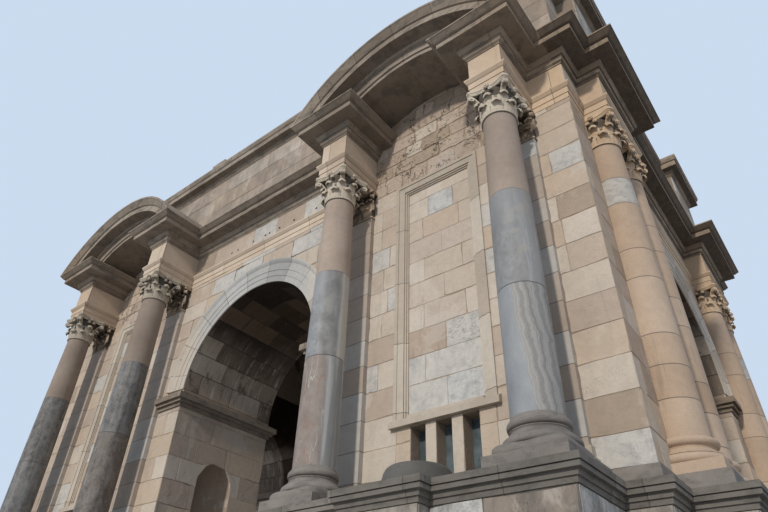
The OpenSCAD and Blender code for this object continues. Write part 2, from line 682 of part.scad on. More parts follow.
// Loose block left on the edge of the attic over the main arch
loose_x = -arch_r * 1.43;
loose_l = arch_r * 0.245;
loose_h = attic_cornice_h * 0.26;
module attic_block() {
    color(stone) block([loose_x, -wall_y - loose_h / 2, attic_top],
                       [loose_x + loose_l, -wall_y + 2 * loose_h, attic_top + loose_h]);
}
module roof_slab() {
    color(grey) block([-wall_x + wall_t, -wall_y + wall_t, attic_cornice_z - roof_t],
                      [wall_x - wall_t, wall_y - wall_t, attic_cornice_z]);
}

podium_dies();
podium_caps();
wall_courses();
front_walls();
back_walls();
side_walls();
passage_jambs();
side_jambs();
hall_walls();
main_arches();
side_arches();
archivolts();
imposts();
panel_frames();
window_glass();
column_bases();
side_column_bases();
marble_drums();
upper_drums();
side_shafts();
front_capitals();
back_capitals();
side_capitals();
pilasters();
pilaster_bases();
pilaster_capitals();
front_architrave();
back_architrave();
left_architrave();
right_architrave();
front_frieze();
back_frieze();
left_frieze();
right_frieze();
front_cornice();
back_cornice();
left_cornice();
right_cornice();
bay_upper_walls();
pediments();
hall_vault();
hall_lunettes();
attic_walls();
attic_cornice();
attic_block();
roof_slab();
bay_pedestals();
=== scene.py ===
import bisect
import math
import random

import bpy
from mathutils import Matrix, Vector


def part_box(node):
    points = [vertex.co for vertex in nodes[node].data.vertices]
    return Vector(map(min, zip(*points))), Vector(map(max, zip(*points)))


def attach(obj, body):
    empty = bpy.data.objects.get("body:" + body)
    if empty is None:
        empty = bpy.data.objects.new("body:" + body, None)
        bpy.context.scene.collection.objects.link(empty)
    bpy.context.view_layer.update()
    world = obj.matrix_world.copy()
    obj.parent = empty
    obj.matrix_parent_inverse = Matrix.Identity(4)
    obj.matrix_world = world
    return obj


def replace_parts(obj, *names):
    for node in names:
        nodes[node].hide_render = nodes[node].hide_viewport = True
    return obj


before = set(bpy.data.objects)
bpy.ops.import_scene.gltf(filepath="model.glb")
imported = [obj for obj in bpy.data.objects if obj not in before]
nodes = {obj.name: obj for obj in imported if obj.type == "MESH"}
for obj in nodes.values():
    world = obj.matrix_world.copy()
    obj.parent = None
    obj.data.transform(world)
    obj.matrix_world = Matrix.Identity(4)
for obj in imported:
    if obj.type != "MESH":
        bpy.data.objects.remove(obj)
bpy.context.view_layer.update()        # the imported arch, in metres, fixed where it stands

bpy.ops.object.select_all(action="DESELECT")

# The view of the arch: a wide lens close to the right-hand corner, looking up at the cornices from
# eye height. The lens is given for a 36 mm wide frame of 768 x 512.
view = bpy.data.objects.new("view", bpy.data.cameras.new("view"))
view.data.sensor_width = 36.0
view.data.lens = 27.866
view.data.clip_end = 500.0
view.location = (11.587, -14.742, 1.604)
view.rotation_euler = [math.radians(a) for a in (126.6446, -1.6063, 37.8870)]
bpy.context.collection.objects.link(view)
bpy.context.scene.camera = view
bpy.context.scene.view_settings.view_transform = "Standard"

# The light on it: a low hazy sun nearly square to the front, which throws each column's shadow on
# the pilaster behind it. Pale cool light from all round fills the shade.
haze = bpy.data.objects.new("hazy_sun", bpy.data.lights.new("hazy_sun", "SUN"))
haze.data.energy = 2.0
haze.data.angle = math.radians(4.0)
haze.data.color = (1.0, 0.93, 0.83)
toward = Vector((math.sin(math.radians(7)), -math.cos(math.radians(7)), math.tan(math.radians(27))))
haze.rotation_euler = toward.to_track_quat("Z", "Y").to_euler()
bpy.context.collection.objects.link(haze)

# The floor and the backdrop: plain and pale, and not part of the building. The backdrop looks a
# little lighter and bluer than the light that it gives.
class Wire:
    """A value in a node tree. Its operators add Math nodes, and add makes any other node."""

    def __init__(self, tree, socket=None):
        self.tree, self.socket = tree, socket

    def add(self, kind, values=None, settings=None, out=0):
        made = self.tree.nodes.new("ShaderNode" + kind)
        for key, value in (settings or {}).items():
            if key == "stops":
                ramp = made.color_ramp.elements
                while len(ramp) < len(value):
                    ramp.new(0.5)
                for stop, (place, colour) in zip(ramp, value):
                    stop.position, stop.color = place, (*colour, 1.0)
            else:
                setattr(made, key, value)
        for key, value in (values or {}).items():
            if isinstance(value, Wire):
                self.tree.links.new(value.socket, made.inputs[key])
            else:
                made.inputs[key].default_value = value
        return Wire(self.tree, made.outputs[out] if made.outputs else None)

    def maths(self, operation, a, b=0.0):
        return self.add("Math", {0: a, 1: b}, {"operation": operation})

    def __add__(self, other): return self.maths("ADD", self, other)
    def __radd__(self, other): return self.maths("ADD", other, self)
    def __sub__(self, other): return self.maths("SUBTRACT", self, other)
    def __rsub__(self, other): return self.maths("SUBTRACT", other, self)
    def __mul__(self, other): return self.maths("MULTIPLY", self, other)
    def __rmul__(self, other): return self.maths("MULTIPLY", other, self)
    def __truediv__(self, other): return self.maths("DIVIDE", self, other)
    def __lt__(self, other): return self.maths("LESS_THAN", self, other)
    def __gt__(self, other): return self.maths("GREATER_THAN", self, other)
    def __abs__(self): return self.maths("ABSOLUTE", self)
    def __floor__(self): return self.maths("FLOOR", self)

    def blend(self, colour_a, colour_b):
        """Colour a where this value is 0 and colour b where it is 1."""
        pair = [c if isinstance(c, Wire) else (*c, 1.0) for c in (colour_a, colour_b)]
        return self.add("Mix", {0: self, 6: pair[0], 7: pair[1]}, {"data_type": "RGBA"}, 2)

    def tint(self, colour):
        """This colour multiplied by a number or another colour."""
        if isinstance(colour, Wire) and colour.socket.type == "VALUE":
            colour = colour.add("CombineXYZ", {0: colour, 1: colour, 2: colour})
        return self.add("VectorMath", {0: self, 1: colour}, {"operation": "MULTIPLY"})

    def ease(self, low, high, to_low=0.0, to_high=1.0):
        return self.add("MapRange", {0: self, 1: low, 2: high, 3: to_low, 4: to_high},
                        {"interpolation_type": "SMOOTHSTEP"})

    def stretch(self, x, y, z):
        return self.add("VectorMath", {0: self, 1: (x, y, z)}, {"operation": "MULTIPLY"})

    def noise(self, scale, detail=4.0, rough=0.55, distort=0.0):
        return self.add("TexNoise", {0: self, "Scale": scale, "Detail": detail, "Roughness": rough,
                                     "Distortion": distort})

    def cells(self, scale):
        return self.add("TexVoronoi", {0: self, "Scale": scale})

    def chance(self):
        """A random number that stays the same while this value does."""
        return self.add("TexWhiteNoise", {1: self}, {"noise_dimensions": "1D"})

    def ramp(self, *stops):
        """A colour for this value, from stops of a value and a colour."""
        return self.add("ValToRGB", {0: self}, {"stops": stops})

    def parts(self):
        """The three parts of a place or a direction."""
        return [self.add("SeparateXYZ", {0: self}, out=k) for k in range(3)]

    def facing(self):
        """The three parts of the direction that the surface faces."""
        return self.add("NewGeometry", out=1).parts()


def new_finish(name):
    """An empty material and its object coordinates."""
    finish = bpy.data.materials.new(name)
    finish.use_nodes = True
    finish.node_tree.nodes.clear()
    return finish, Wire(finish.node_tree).add("TexCoord", out=3)


bpy.ops.mesh.primitive_plane_add(size=300.0, location=(0, 0, -0.002))
floor = bpy.context.active_object
floor.name = "pale_floor"
floor_finish, place = new_finish("pale_floor")
flat = place.add("BsdfPrincipled", {"Base Color": (0.50, 0.485, 0.46, 1.0), "Roughness": 0.9})
place.add("OutputMaterial", {0: flat})
floor.data.materials.append(floor_finish)
backdrop = bpy.data.worlds.new("pale_backdrop")
backdrop.use_nodes = True
backdrop.node_tree.nodes.clear()
base = Wire(backdrop.node_tree)
seen = base.maths("MAXIMUM", base.add("LightPath", out=0),
                  base.maths("MAXIMUM", base.add("LightPath", out=3), base.add("LightPath", out=6)))
shown = seen.blend((0.445, 0.505, 0.61), (0.60, 0.71, 0.86))
base.add("OutputWorld", {0: base.add("Background", {0: shown, 1: 1.0})})
bpy.context.scene.world = backdrop

# Ashlar: limestone blocks laid in level courses of two Roman feet, 0.592 m. Each block is a stone of
# its own with worn arrises and a 5 mm joint, and a letter for its quarry bed gives its colour.
course = 0.592
first_bed = 4.766
quarry = {"b": (0.0, 0.0, 0.0), "t": (0.2, 0.0, 0.0), "k": (0.42, 0.04, 0.0), "h": (0.62, 0.0, 0.0),
          "p": (0.9, 0.2, 0.0), "c": (0.58, 0.22, 0.0), "w": (0.9, 0.8, 0.2), "g": (0.5, 1.0, 0.4),
          "m": (0.6, 0.8, 1.0)}
warm_beds = [(0.0, (0.36, 0.285, 0.215)), (0.22, (0.42, 0.335, 0.265)), (0.42, (0.485, 0.395, 0.32)),
             (0.65, (0.535, 0.435, 0.335)), (1.0, (0.60, 0.52, 0.425))]


def close_finish(finish, colour, rough, height, shine=0.3):
    """Adds the surface of a finish: its colour, its roughness and the relief from its height in metres."""
    base = Wire(finish.node_tree)
    bump = base.add("Bump", {"Height": height, "Strength": 1.0, "Distance": 1.0})
    surface = base.add("BsdfPrincipled", {"Base Color": colour, "Roughness": rough, "Normal": bump,
                                          "Specular IOR Level": shine})
    base.add("OutputMaterial", {0: surface})


def age(place, colour, stain=1.0, streaks=1.0):
    """Weather on old stone: broad blotches, grime run down in streaks, and grain. It gives the new
    colour, and the mottle and the grain for the relief."""
    broad = place.noise(0.55, 5.0, 0.6)
    mottle = place.noise(7.0, 6.0, 0.62)
    grain = place.noise(55.0, 4.0, 0.6)
    run = place.stretch(5.0, 5.0, 0.45).noise(1.0, 6.0, 0.65)
    grime = run.ease(0.56, 0.74) * broad.ease(0.35, 0.65) * (0.5 * streaks)
    shade = 1.0 + (broad - 0.5) * (0.42 * stain) + (mottle - 0.5) * 0.32 + (grain - 0.5) * 0.28
    return grime.blend(colour.tint(shade), (0.16, 0.145, 0.125)), mottle, grain


def laid_stone(name, shade=(1.0, 1.0, 1.0), lift=0.0, relief=1.0, broken=0.0, grime=0.0):
    """A finish for laid blocks. It reads each stone's tone, paleness and marbling, as in quarry, from the mesh.
    shade and lift change the colours of the beds; broken adds crags and cracks, grime a dark wash."""
    finish, place = new_finish(name)
    marks = place.add("Attribute", settings={"attribute_name": "stone"}, out=1)
    tone, paleness, marbling = marks.parts()
    colour = tone.ramp(*[(at, tuple(s * c + lift for s, c in zip(shade, bed))) for at, bed in warm_beds])
    clouds = place.noise(3.2, 7.0, 0.7, 1.2)
    white = clouds.ease(0.42, 0.66).blend((0.56, 0.55, 0.52), (0.40, 0.41, 0.41))
    colour = paleness.blend(colour, white)
    veins = place.stretch(1.0, 1.0, 1.6).noise(9.0, 5.0, 0.75, 0.9).ease(0.5, 0.62)
    colour = (veins * marbling * 0.7).blend(colour, (0.24, 0.245, 0.25))
    colour, mottle, grain = age(place, colour)
    crust = place.stretch(1.0, 1.0, 0.7).noise(0.8, 7.0, 0.66, 0.4).ease(0.56, 0.61)
    colour = (crust * 0.3).blend(colour, (0.64, 0.60, 0.54))
    pits = place.cells(26.0).ease(0.10, 0.22)
    sparse = place.noise(2.1, 3.0).ease(0.52, 0.62)
    colour = ((1.0 - pits) * sparse * 0.55).blend(colour, (0.15, 0.12, 0.10))
    height = (mottle * 0.006 + grain * 0.003 + pits * sparse * 0.004) * relief
    if broken:
        crags = place.noise(4.6, 9.0, 0.78, 0.4)
        hollows = place.cells(9.0).ease(0.06, 0.3)
        colour = (crags.ease(0.47, 0.30) * broken * 0.5).blend(colour, (0.19, 0.155, 0.12))
        colour = (crags.ease(0.56, 0.70) * broken * 0.5).blend(colour, (0.60, 0.54, 0.45))
        colour = ((1.0 - hollows) * broken * 0.4).blend(colour, (0.13, 0.10, 0.08))
        split = place.stretch(1.0, 1.0, 0.55).noise(1.5, 7.0, 0.62, 0.5)
        crack = (1.0 - abs(split - 0.5).ease(0.002, 0.008)) * place.noise(0.9, 2.0).ease(0.45, 0.5)
        colour = (crack * broken * 0.8).blend(colour, (0.06, 0.05, 0.04))
        height = height - crack * (0.02 * broken) + crags * (0.09 * broken) + hollows * (0.012 * broken)
    if grime:
        wash = place.stretch(1.6, 1.6, 0.7).noise(1.3, 7.0, 0.7).ease(0.40, 0.62) * grime
        colour = wash.blend(colour, (0.13, 0.122, 0.108))
    close_finish(finish, colour, 0.86, height)
    return finish


ashlar = laid_stone("ashlar_limestone")


def beds(low, high, start=first_bed, step=course):
    """Heights of the level joints from low to high, with no course thinner than 0.12 m at the ends."""
    at = start + math.ceil((low + 0.12 - start) / step) * step
    joints = []
    while at < high - 0.12:
        joints.append(at)
        at += step
    return [low] + joints + [high]


def bond(left, right, row, pitch, dice, jitter):
    """Upright joints of one course, half a block over from the course below, with no sliver at its ends."""
    least = 0.22
    joints = []
    at = math.floor(left / pitch) * pitch + (0.5 * pitch if row % 2 else 0.0)
    while at < right - least:
        mark = at + dice.uniform(-jitter, jitter) * pitch
        if left + least < mark < right - least:
            joints.append(mark)
        at += pitch
    return [left] + joints + [right]


def shaped(piece, kind, **settings):
    """Gives a piece a modifier and applies it."""
    bpy.context.view_layer.objects.active = piece
    change = piece.modifiers.new("change", kind)
    for key, value in settings.items():
        setattr(change, key, value)
    bpy.ops.object.modifier_apply(modifier="change")


def lay_wall(side, plane, left, right, levels, rows=None, pitch=1.0, letters="hhkkttpph", seed=1, gap=0.005,
             proud=0.010, jitter=0.1, opening=None, finish=ashlar, chipped=0.026):
    """Lays blocks on one wall face. side is front, back, left or right; plane is how far that face is
    from the middle; rows gives some courses, from the lowest one up, as letters and then joints, or
    only as the letter of a single stone. Each block is a slab with bevelled edges, bedded in the wall."""
    dice = random.Random(seed)
    bedded, arris = 0.03, 0.005
    table, strips = [], []
    for row, (low, high) in enumerate(zip(levels, levels[1:])):
        given = rows[row] if rows and row < len(rows) else None
        joints = [left, *given[1:], right] if given else bond(left, right, row, pitch, dice, jitter)
        letters_here = given[0] if given else "".join(dice.choice(letters) for _ in joints[1:])
        stones = [(min(1.0, max(0.0, quarry[c][0] + dice.uniform(-0.12, 0.12))), *quarry[c][1:])
                  for c in letters_here]
        table.append((high, joints, stones))
        bpy.ops.mesh.primitive_grid_add(x_subdivisions=len(joints) - 1, y_subdivisions=1, size=1.0)
        strip = bpy.context.active_object
        order = sorted({round(v.co.x, 5) for v in strip.data.vertices})
        for v in strip.data.vertices:
            v.co = (joints[order.index(round(v.co.x, 5))], 0.0, high if v.co.y > 0 else low)
        strips.append(strip)
    wall = as_one(strips, "stones")
    bpy.ops.object.mode_set(mode="EDIT")
    bpy.ops.mesh.select_all(action="SELECT")
    bpy.ops.mesh.edge_split(type="EDGE")
    bpy.ops.mesh.inset(thickness=gap / 2, use_individual=True, use_boundary=True)
    bpy.ops.mesh.select_all(action="INVERT")
    bpy.ops.mesh.delete(type="VERT")
    bpy.ops.mesh.select_all(action="SELECT")
    bpy.ops.mesh.subdivide(number_cuts=2)
    bpy.ops.object.mode_set(mode="OBJECT")
    tops = [high for high, _, _ in table]
    relief = {}
    for v in wall.data.vertices:
        row = min(bisect.bisect(tops, v.co.z), len(table) - 1)
        joints = table[row][1]
        stone = min(max(bisect.bisect(joints, v.co.x) - 1, 0), len(joints) - 2)
        chip_x, chip_z = chipped * dice.random() ** 5, chipped * dice.random() ** 5
        if v.co.x - joints[stone] < gap:
            v.co.x += chip_x
        elif joints[stone + 1] - v.co.x < gap:
            v.co.x -= chip_x
        if v.co.z - levels[row] < gap:
            v.co.z += chip_z
        elif levels[row + 1] - v.co.z < gap:
            v.co.z -= chip_z
        if (row, stone) not in relief:
            relief[row, stone] = dice.uniform(-0.25, 0.35) * proud
        v.co.y = relief[row, stone]
    if opening:
        fit_round(wall, *opening)
    shaped(wall, "SOLIDIFY", thickness=bedded + proud, offset=0.0)
    shaped(wall, "BEVEL", width=arris, segments=1, limit_method="ANGLE")
    wall.data.attributes.new("stone", "FLOAT_VECTOR", "FACE")
    stone = wall.data.attributes["stone"].data
    for face in wall.data.polygons:
        u, _, z = face.center
        high, joints, stones = table[min(bisect.bisect(tops, z), len(table) - 1)]
        stone[face.index].vector = stones[min(max(bisect.bisect(joints, u) - 1, 0), len(stones) - 1)]
    quarter_turns = {"front": 0, "right": 1, "back": 2, "left": 3}[side]
    wall.data.transform(Matrix.Translation((0, -plane - (proud - bedded) / 2, 0)))
    wall.data.transform(Matrix.Rotation(quarter_turns * math.pi / 2, 4, "Z"))
    wall.data.materials.append(finish)
    return wall


def as_one(pieces, name):
    """Joins pieces into one and leaves it the only one selected."""
    bpy.ops.object.select_all(action="DESELECT")
    for piece in pieces:
        piece.select_set(True)
    bpy.context.view_layer.objects.active = pieces[0]
    if len(pieces) > 1:
        bpy.ops.object.join()
    bpy.context.active_object.name = bpy.context.active_object.data.name = name
    return bpy.context.active_object


def outward(piece):
    """Turns a piece's faces outwards."""
    bpy.ops.object.select_all(action="DESELECT")
    piece.select_set(True)
    bpy.context.view_layer.objects.active = piece
    bpy.ops.object.mode_set(mode="EDIT")
    bpy.ops.mesh.select_all(action="SELECT")
    bpy.ops.mesh.normals_make_consistent(inside=False)
    bpy.ops.object.mode_set(mode="OBJECT")


def fixed(pieces, name):
    """Makes one finished piece of the building."""
    piece = as_one(pieces, name)
    outward(piece)
    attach(piece, "root")
    return piece


# The podium: grey stone blocks round every pier, weathered darker than the walls above. Its base, its
# moulded cap and the grey course that walls and columns stand on are long cut blocks.
quarter = [(2.45, -2.45), (2.45, -6.09), (3.13, -6.09), (3.13, -7.63), (5.34, -7.63), (5.34, -7.90), (6.76, -7.90),
           (6.76, -7.63), (8.89, -7.63), (8.89, -6.09), (9.52, -6.09), (9.52, -5.28), (10.37, -5.28), (10.37, -3.08),
           (9.52, -3.08), (9.52, -2.45), (2.45, -2.45)]
weathered = laid_stone("podium_limestone", (0.53,) * 3, 0.026, relief=1.8, grime=0.75)
low_beds = [0.512, 1.155, 1.797, 2.44, 3.082, 3.723]
stones = []
for k, (a, b) in enumerate(zip(quarter, quarter[1:])):
    for sx in (1, -1):
        for sy in (1, -1):
            (ax, ay), (bx, by) = (a[0] * sx, a[1] * sy), (b[0] * sx, b[1] * sy)
            if ax == bx:
                names, plane, run, way = ("right", "left"), ax, (ay, by), (by - ay) * sx * sy
            else:
                names, plane, run, way = ("front", "back"), -ay, (ax, bx), (bx - ax) * sx * sy
            turn = 1 if way > 0 else -1
            stones.append(lay_wall(names[turn < 0], plane * turn, *sorted(turn * c for c in run), low_beds, pitch=1.1,
                                   letters="ppckpg", seed=200 + k * 4 + sx + sy, gap=0.012, finish=weathered))
fixed(stones, "podium_blocks")


def finish_nodes(finish, *names):
    for each in names:
        nodes[each].data.materials.clear()
        nodes[each].data.materials.append(finish)


def dressed(name, colours, drums=0.0, along=0.0, stain=1.0, streaks=1.0, dirt_and_shade=(0.0, 0.0), start=0.0, levels=(),
            honeyed=0.0, inner_lit_left_darker=0.0):
    """A finish for cut stone: colours from dark to light, level joints every drums metres or at the
    given levels, upright joints every along metres, and two weights: for soot and painted shade on the
    undersides of the mouldings, and for a dark crust in patches all over. With levels, the drum under the
    last joint is pale on the outer columns. honeyed makes the stone towards the side fronts more ochre;
    the last argument paints light on the inner columns of the right half and darkens the left half."""
    finish, place = new_finish(name)
    (x, y, z), faces = place.parts(), place.facing()
    patch = place.noise(0.9, 3.0, 0.5)
    if drums:
        near = z.maths("PINGPONG", z - start, drums / 2)
        count = math.floor((z - start) / drums)
    elif levels:
        up = z + (abs(y) < 4.18) * 0.38
        count, near = 0.0, 9.0
        for level in levels:
            count = (up > level) + count
            near = up.maths("MINIMUM", abs(up - level), near)
    elif along:
        flat = abs(faces[0]) > 0.7
        run = flat * y + (1.0 - flat) * x
        count = math.floor(run / along) + math.floor(z * 0.6) * 11.0
    if drums or levels:
        count = count + math.floor(x * 0.45) * 7.0 + math.floor(y * 0.45) * 13.0
    if drums or levels or along:
        patch = count.chance() * 0.6 + patch * 0.4
    colour = patch.ramp(*zip((0.15, 0.5, 0.85), colours))
    colour, mottle, grain = age(place, colour, stain, streaks)
    if honeyed:
        colour = (abs(x).ease(7.0, 9.4) * honeyed).blend(colour, colour.tint((0.97, 0.90, 0.81)))
    # Painted light: the inner columns of the right half are made lighter; the left half is made darker.
    if inner_lit_left_darker:
        colour = colour.tint(1.0 + (x > 0.0) * (abs(x) < 6.0) * inner_lit_left_darker - (x < 0.0) * inner_lit_left_darker)
    height = mottle * 0.004 + grain * 0.002
    if levels:
        marbled = place.stretch(1.0, 1.0, 2.2).noise(4.0, 6.0, 0.7, 0.6).ease(0.45, 0.6)
        spare = (z > levels[-2]) * (z < levels[-1]) * (abs(y) > 4.18)
        colour = (spare * 0.85).blend(colour, marbled.blend((0.50, 0.485, 0.45), (0.385, 0.38, 0.37)))
    if drums or levels:
        joint = 1.0 - near.ease(0.002, 0.011)
        colour = (joint * 0.75).blend(colour, (0.09, 0.08, 0.07))
        height = height - joint * 0.006
    elif along:
        joint = 1.0 - run.maths("PINGPONG", run, along / 2).ease(0.002, 0.010)
        joint = joint * (1.0 - (abs(faces[2]) > 0.7) * 0.35)
        colour = (joint * 0.7).blend(colour, (0.08, 0.07, 0.06))
        height = height - joint * 0.006
    under, top = dirt_and_shade
    # Undersides are painted darker: soot, and painted shade under the mouldings. Under the cornices of the side fronts
    # this soot and painted shade is near-black.
    if under:
        soot_and_shade = faces[2].ease(-0.3, -0.85) * mottle.ease(0.2, 0.7, 0.6, 1.0) * under
        colour = soot_and_shade.blend(colour, (0.115, 0.088, 0.066))
        colour = (soot_and_shade * (abs(x) > 9.3) * (under > 0.6) * 1.2).blend(colour, (0.035, 0.024, 0.018))
    if top:
        crust = place.stretch(1.5, 1.5, 4.0).noise(1.5, 9.0, 0.74, 0.3).ease(0.47, 0.62) * top
        colour = crust.blend(colour, (0.085, 0.078, 0.068))
    pits = place.cells(31.0).ease(0.08, 0.2)
    colour = ((1.0 - pits) * 0.35).blend(colour, (0.12, 0.10, 0.085))
    close_finish(finish, colour, 0.84, height + pits * 0.002)
    return finish


base_stone = dressed("grey_base_stone", [(0.18, 0.164, 0.148), (0.238, 0.217, 0.196), (0.307, 0.28, 0.25)],
                     dirt_and_shade=(0.4, 0.4))
finish_nodes(base_stone, "column_bases", "wall_courses")
finish_nodes(dressed("podium_grey", [(0.13, 0.12, 0.105), (0.185, 0.17, 0.15), (0.27, 0.25, 0.22)], along=1.32,
                     dirt_and_shade=(0.3, 0.5), streaks=1.5), "podium_caps", "podium_dies")

# The front and back bays: limestone walls beside the framed panel, the sunk panel itself, the posts of
# the three windows, and the corner pier. The stones of the right-hand front bay are the real ones.
front_face, side_face, sunk = 6.07, 9.46, 0.09
wall_foot, wall_top = 4.27, 12.01
strip = ["w", "p", "p", "k", ("wp", 4.5), "k", ("pc", 4.55), ("pw", 4.70), ("cp", 4.56), ("wp", 4.72), ("pk", 4.48),
         ("ck", 4.48), "c"]
corner = ["w", "t", "p", "h", "k", "p", ("pk", 8.80), ("hp", 8.80), ("pt", 8.78), "h", ("hw", 8.80), "k", "h"]
panel = [("wg", 6.10), ("ww", 5.61), ("tm", 6.12), ("pcp", 5.60, 6.61), ("cc", 6.12), ("pcc", 5.63, 6.59),
         ("cc", 6.09), ("chc", 5.60, 6.56), ("pgc", 5.76, 6.43), "p"]
up = beds(wall_foot, wall_top)
for n, (bay, side, hand) in enumerate((("front_right", "front", 1), ("front_left", "front", -1),
                                       ("back_left", "back", 1), ("back_right", "back", -1))):
    read = bay == "front_right"

    def span(a, b):
        return (a, b) if hand > 0 else (-b, -a)
    fixed([lay_wall(side, front_face, *span(4.20, 4.99), up, strip if read else None, pitch=0.9, seed=11 + n),
           lay_wall(side, front_face, *span(7.11, 7.83), up, pitch=0.9, letters="hkwp", seed=21 + n),
           lay_wall(side, front_face, *span(8.60, 9.472), up, corner if read else None, pitch=0.86, seed=31 + n),
           lay_wall(side, front_face, *span(4.99, 5.325), beds(wall_foot, 5.66), letters="ph", seed=51 + n),
           lay_wall(side, front_face, *span(6.775, 7.11), beds(wall_foot, 5.66), letters="ph", seed=61 + n),
           lay_wall(side, front_face, *span(5.655, 5.885), [wall_foot, 5.65], ["p"], gap=0.004),
           lay_wall(side, front_face, *span(6.215, 6.445), [wall_foot, 5.65], ["p"], gap=0.004),
           lay_wall(side, front_face - sunk, *span(5.20, 6.90), beds(5.80, 11.50, 5.905, 0.586),
                    panel if read else None, letters="kkhptw", seed=41 + n)], f"ashlar_{bay}_bay")
finish_nodes(ashlar, "front_walls", "back_walls")

# The walls over and beside the main arches, trimmed to the round of the archivolts, and the blocks that
# line the passages, with a niche in each pier. Paler stones mend the course over the crown.
impost_foot, arch_foot, spring, jamb = 7.88, 8.318, 8.35, 2.45
niche, niche_foot = (0.575, 6.10), 4.70
jamb_beds = beds(wall_foot, impost_foot)


def fit_round(wall, middle, reach, spring, foot=0.0):
    """Trims blocks to a round-headed opening with upright sides, from its foot to its crown."""
    bpy.ops.object.mode_set(mode="EDIT")
    bpy.ops.mesh.select_all(action="DESELECT")
    bpy.ops.object.mode_set(mode="OBJECT")

    def depth(c):
        return reach - math.hypot(c.x - middle, max(0.0, c.z - spring)) if c.z > foot else -1.0
    for face in wall.data.polygons:
        face.select = all(depth(wall.data.vertices[k].co) > -0.001 for k in face.vertices)
    bpy.ops.object.mode_set(mode="EDIT")
    bpy.ops.mesh.delete(type="FACE")
    bpy.ops.object.mode_set(mode="OBJECT")
    for v in wall.data.vertices:
        if depth(v.co) > 0.0:
            hub = Vector((middle, v.co.y, min(v.co.z, spring)))
            out = v.co - hub
            v.co = hub + out.normalized() * reach if out.length > 1e-4 else hub + Vector((reach, 0, 0))


over = [None] * 5 + [("hwwkw", -2.156, -1.164, 0.02, 1.26), ("hhwkw", -2.5, -0.9, 0.5, 1.9)]
for n, side in enumerate(("front", "back")):
    spandrel = lay_wall(side, front_face, -3.43, 3.43, beds(arch_foot, wall_top), over if side == "front" else None,
                        pitch=1.15, letters="hhkp" if side == "front" else "hhkptt", seed=71 + n,
                        opening=(0.0, 2.85, spring))
    fixed([spandrel, lay_wall(side, front_face, 2.438, 3.43, up[:8], pitch=1.2, letters="hhkp", seed=75 + n),
           lay_wall(side, front_face, -3.43, -2.438, up[:8], pitch=1.2, letters="hhpk", seed=77 + n)],
          f"ashlar_{side}_arch")
for n, (name, side, low) in enumerate((("front_left", "right", -front_face), ("back_left", "right", 2.88),
                                       ("front_right", "left", 2.88), ("back_right", "left", -front_face))):
    y = -4.475 if "front" in name else 4.475
    fixed([lay_wall(side, -jamb, low, low + 3.19, [wall_foot, niche_foot] + jamb_beds[2:], pitch=1.05,
                    letters="hkphtk", seed=81 + n, opening=(y if side == "right" else -y, *niche, niche_foot))],
          f"ashlar_passage_{name}")
fixed([lay_wall(side, -jamb, *(a if side == "front" else (-a[1], -a[0])), jamb_beds, pitch=1.05,
                letters="hkphtk", seed=91 + k)
       for side in ("front", "back") for k, a in enumerate(((7.26, side_face), (-side_face, -7.26)))],
      "ashlar_side_passages")
finish_nodes(ashlar, "passage_jambs", "side_jambs", "hall_walls", "hall_lunettes")

# The side walls behind the engaged columns: the same blocks, from a more ochre bed. Both sides of the
# arch are alike.
side_ashlar = laid_stone("side_limestone", (1.0, 0.96, 0.91))
for n, side in enumerate(("right", "left")):
    fixed([lay_wall(side, side_face, a, b, levels, pitch=1.15, letters="hhkktp", seed=seed + n, opening=opening,
                    finish=side_ashlar)
           for a, b, levels, seed, opening in (
               (-front_face, front_face, beds(arch_foot, wall_top), 101, (0.0, 2.8, spring)),
               (-front_face, -2.438, up[:8], 103, None), (2.438, front_face, up[:8], 105, None))],
          f"ashlar_{side}_side")
finish_nodes(side_ashlar, "side_walls")

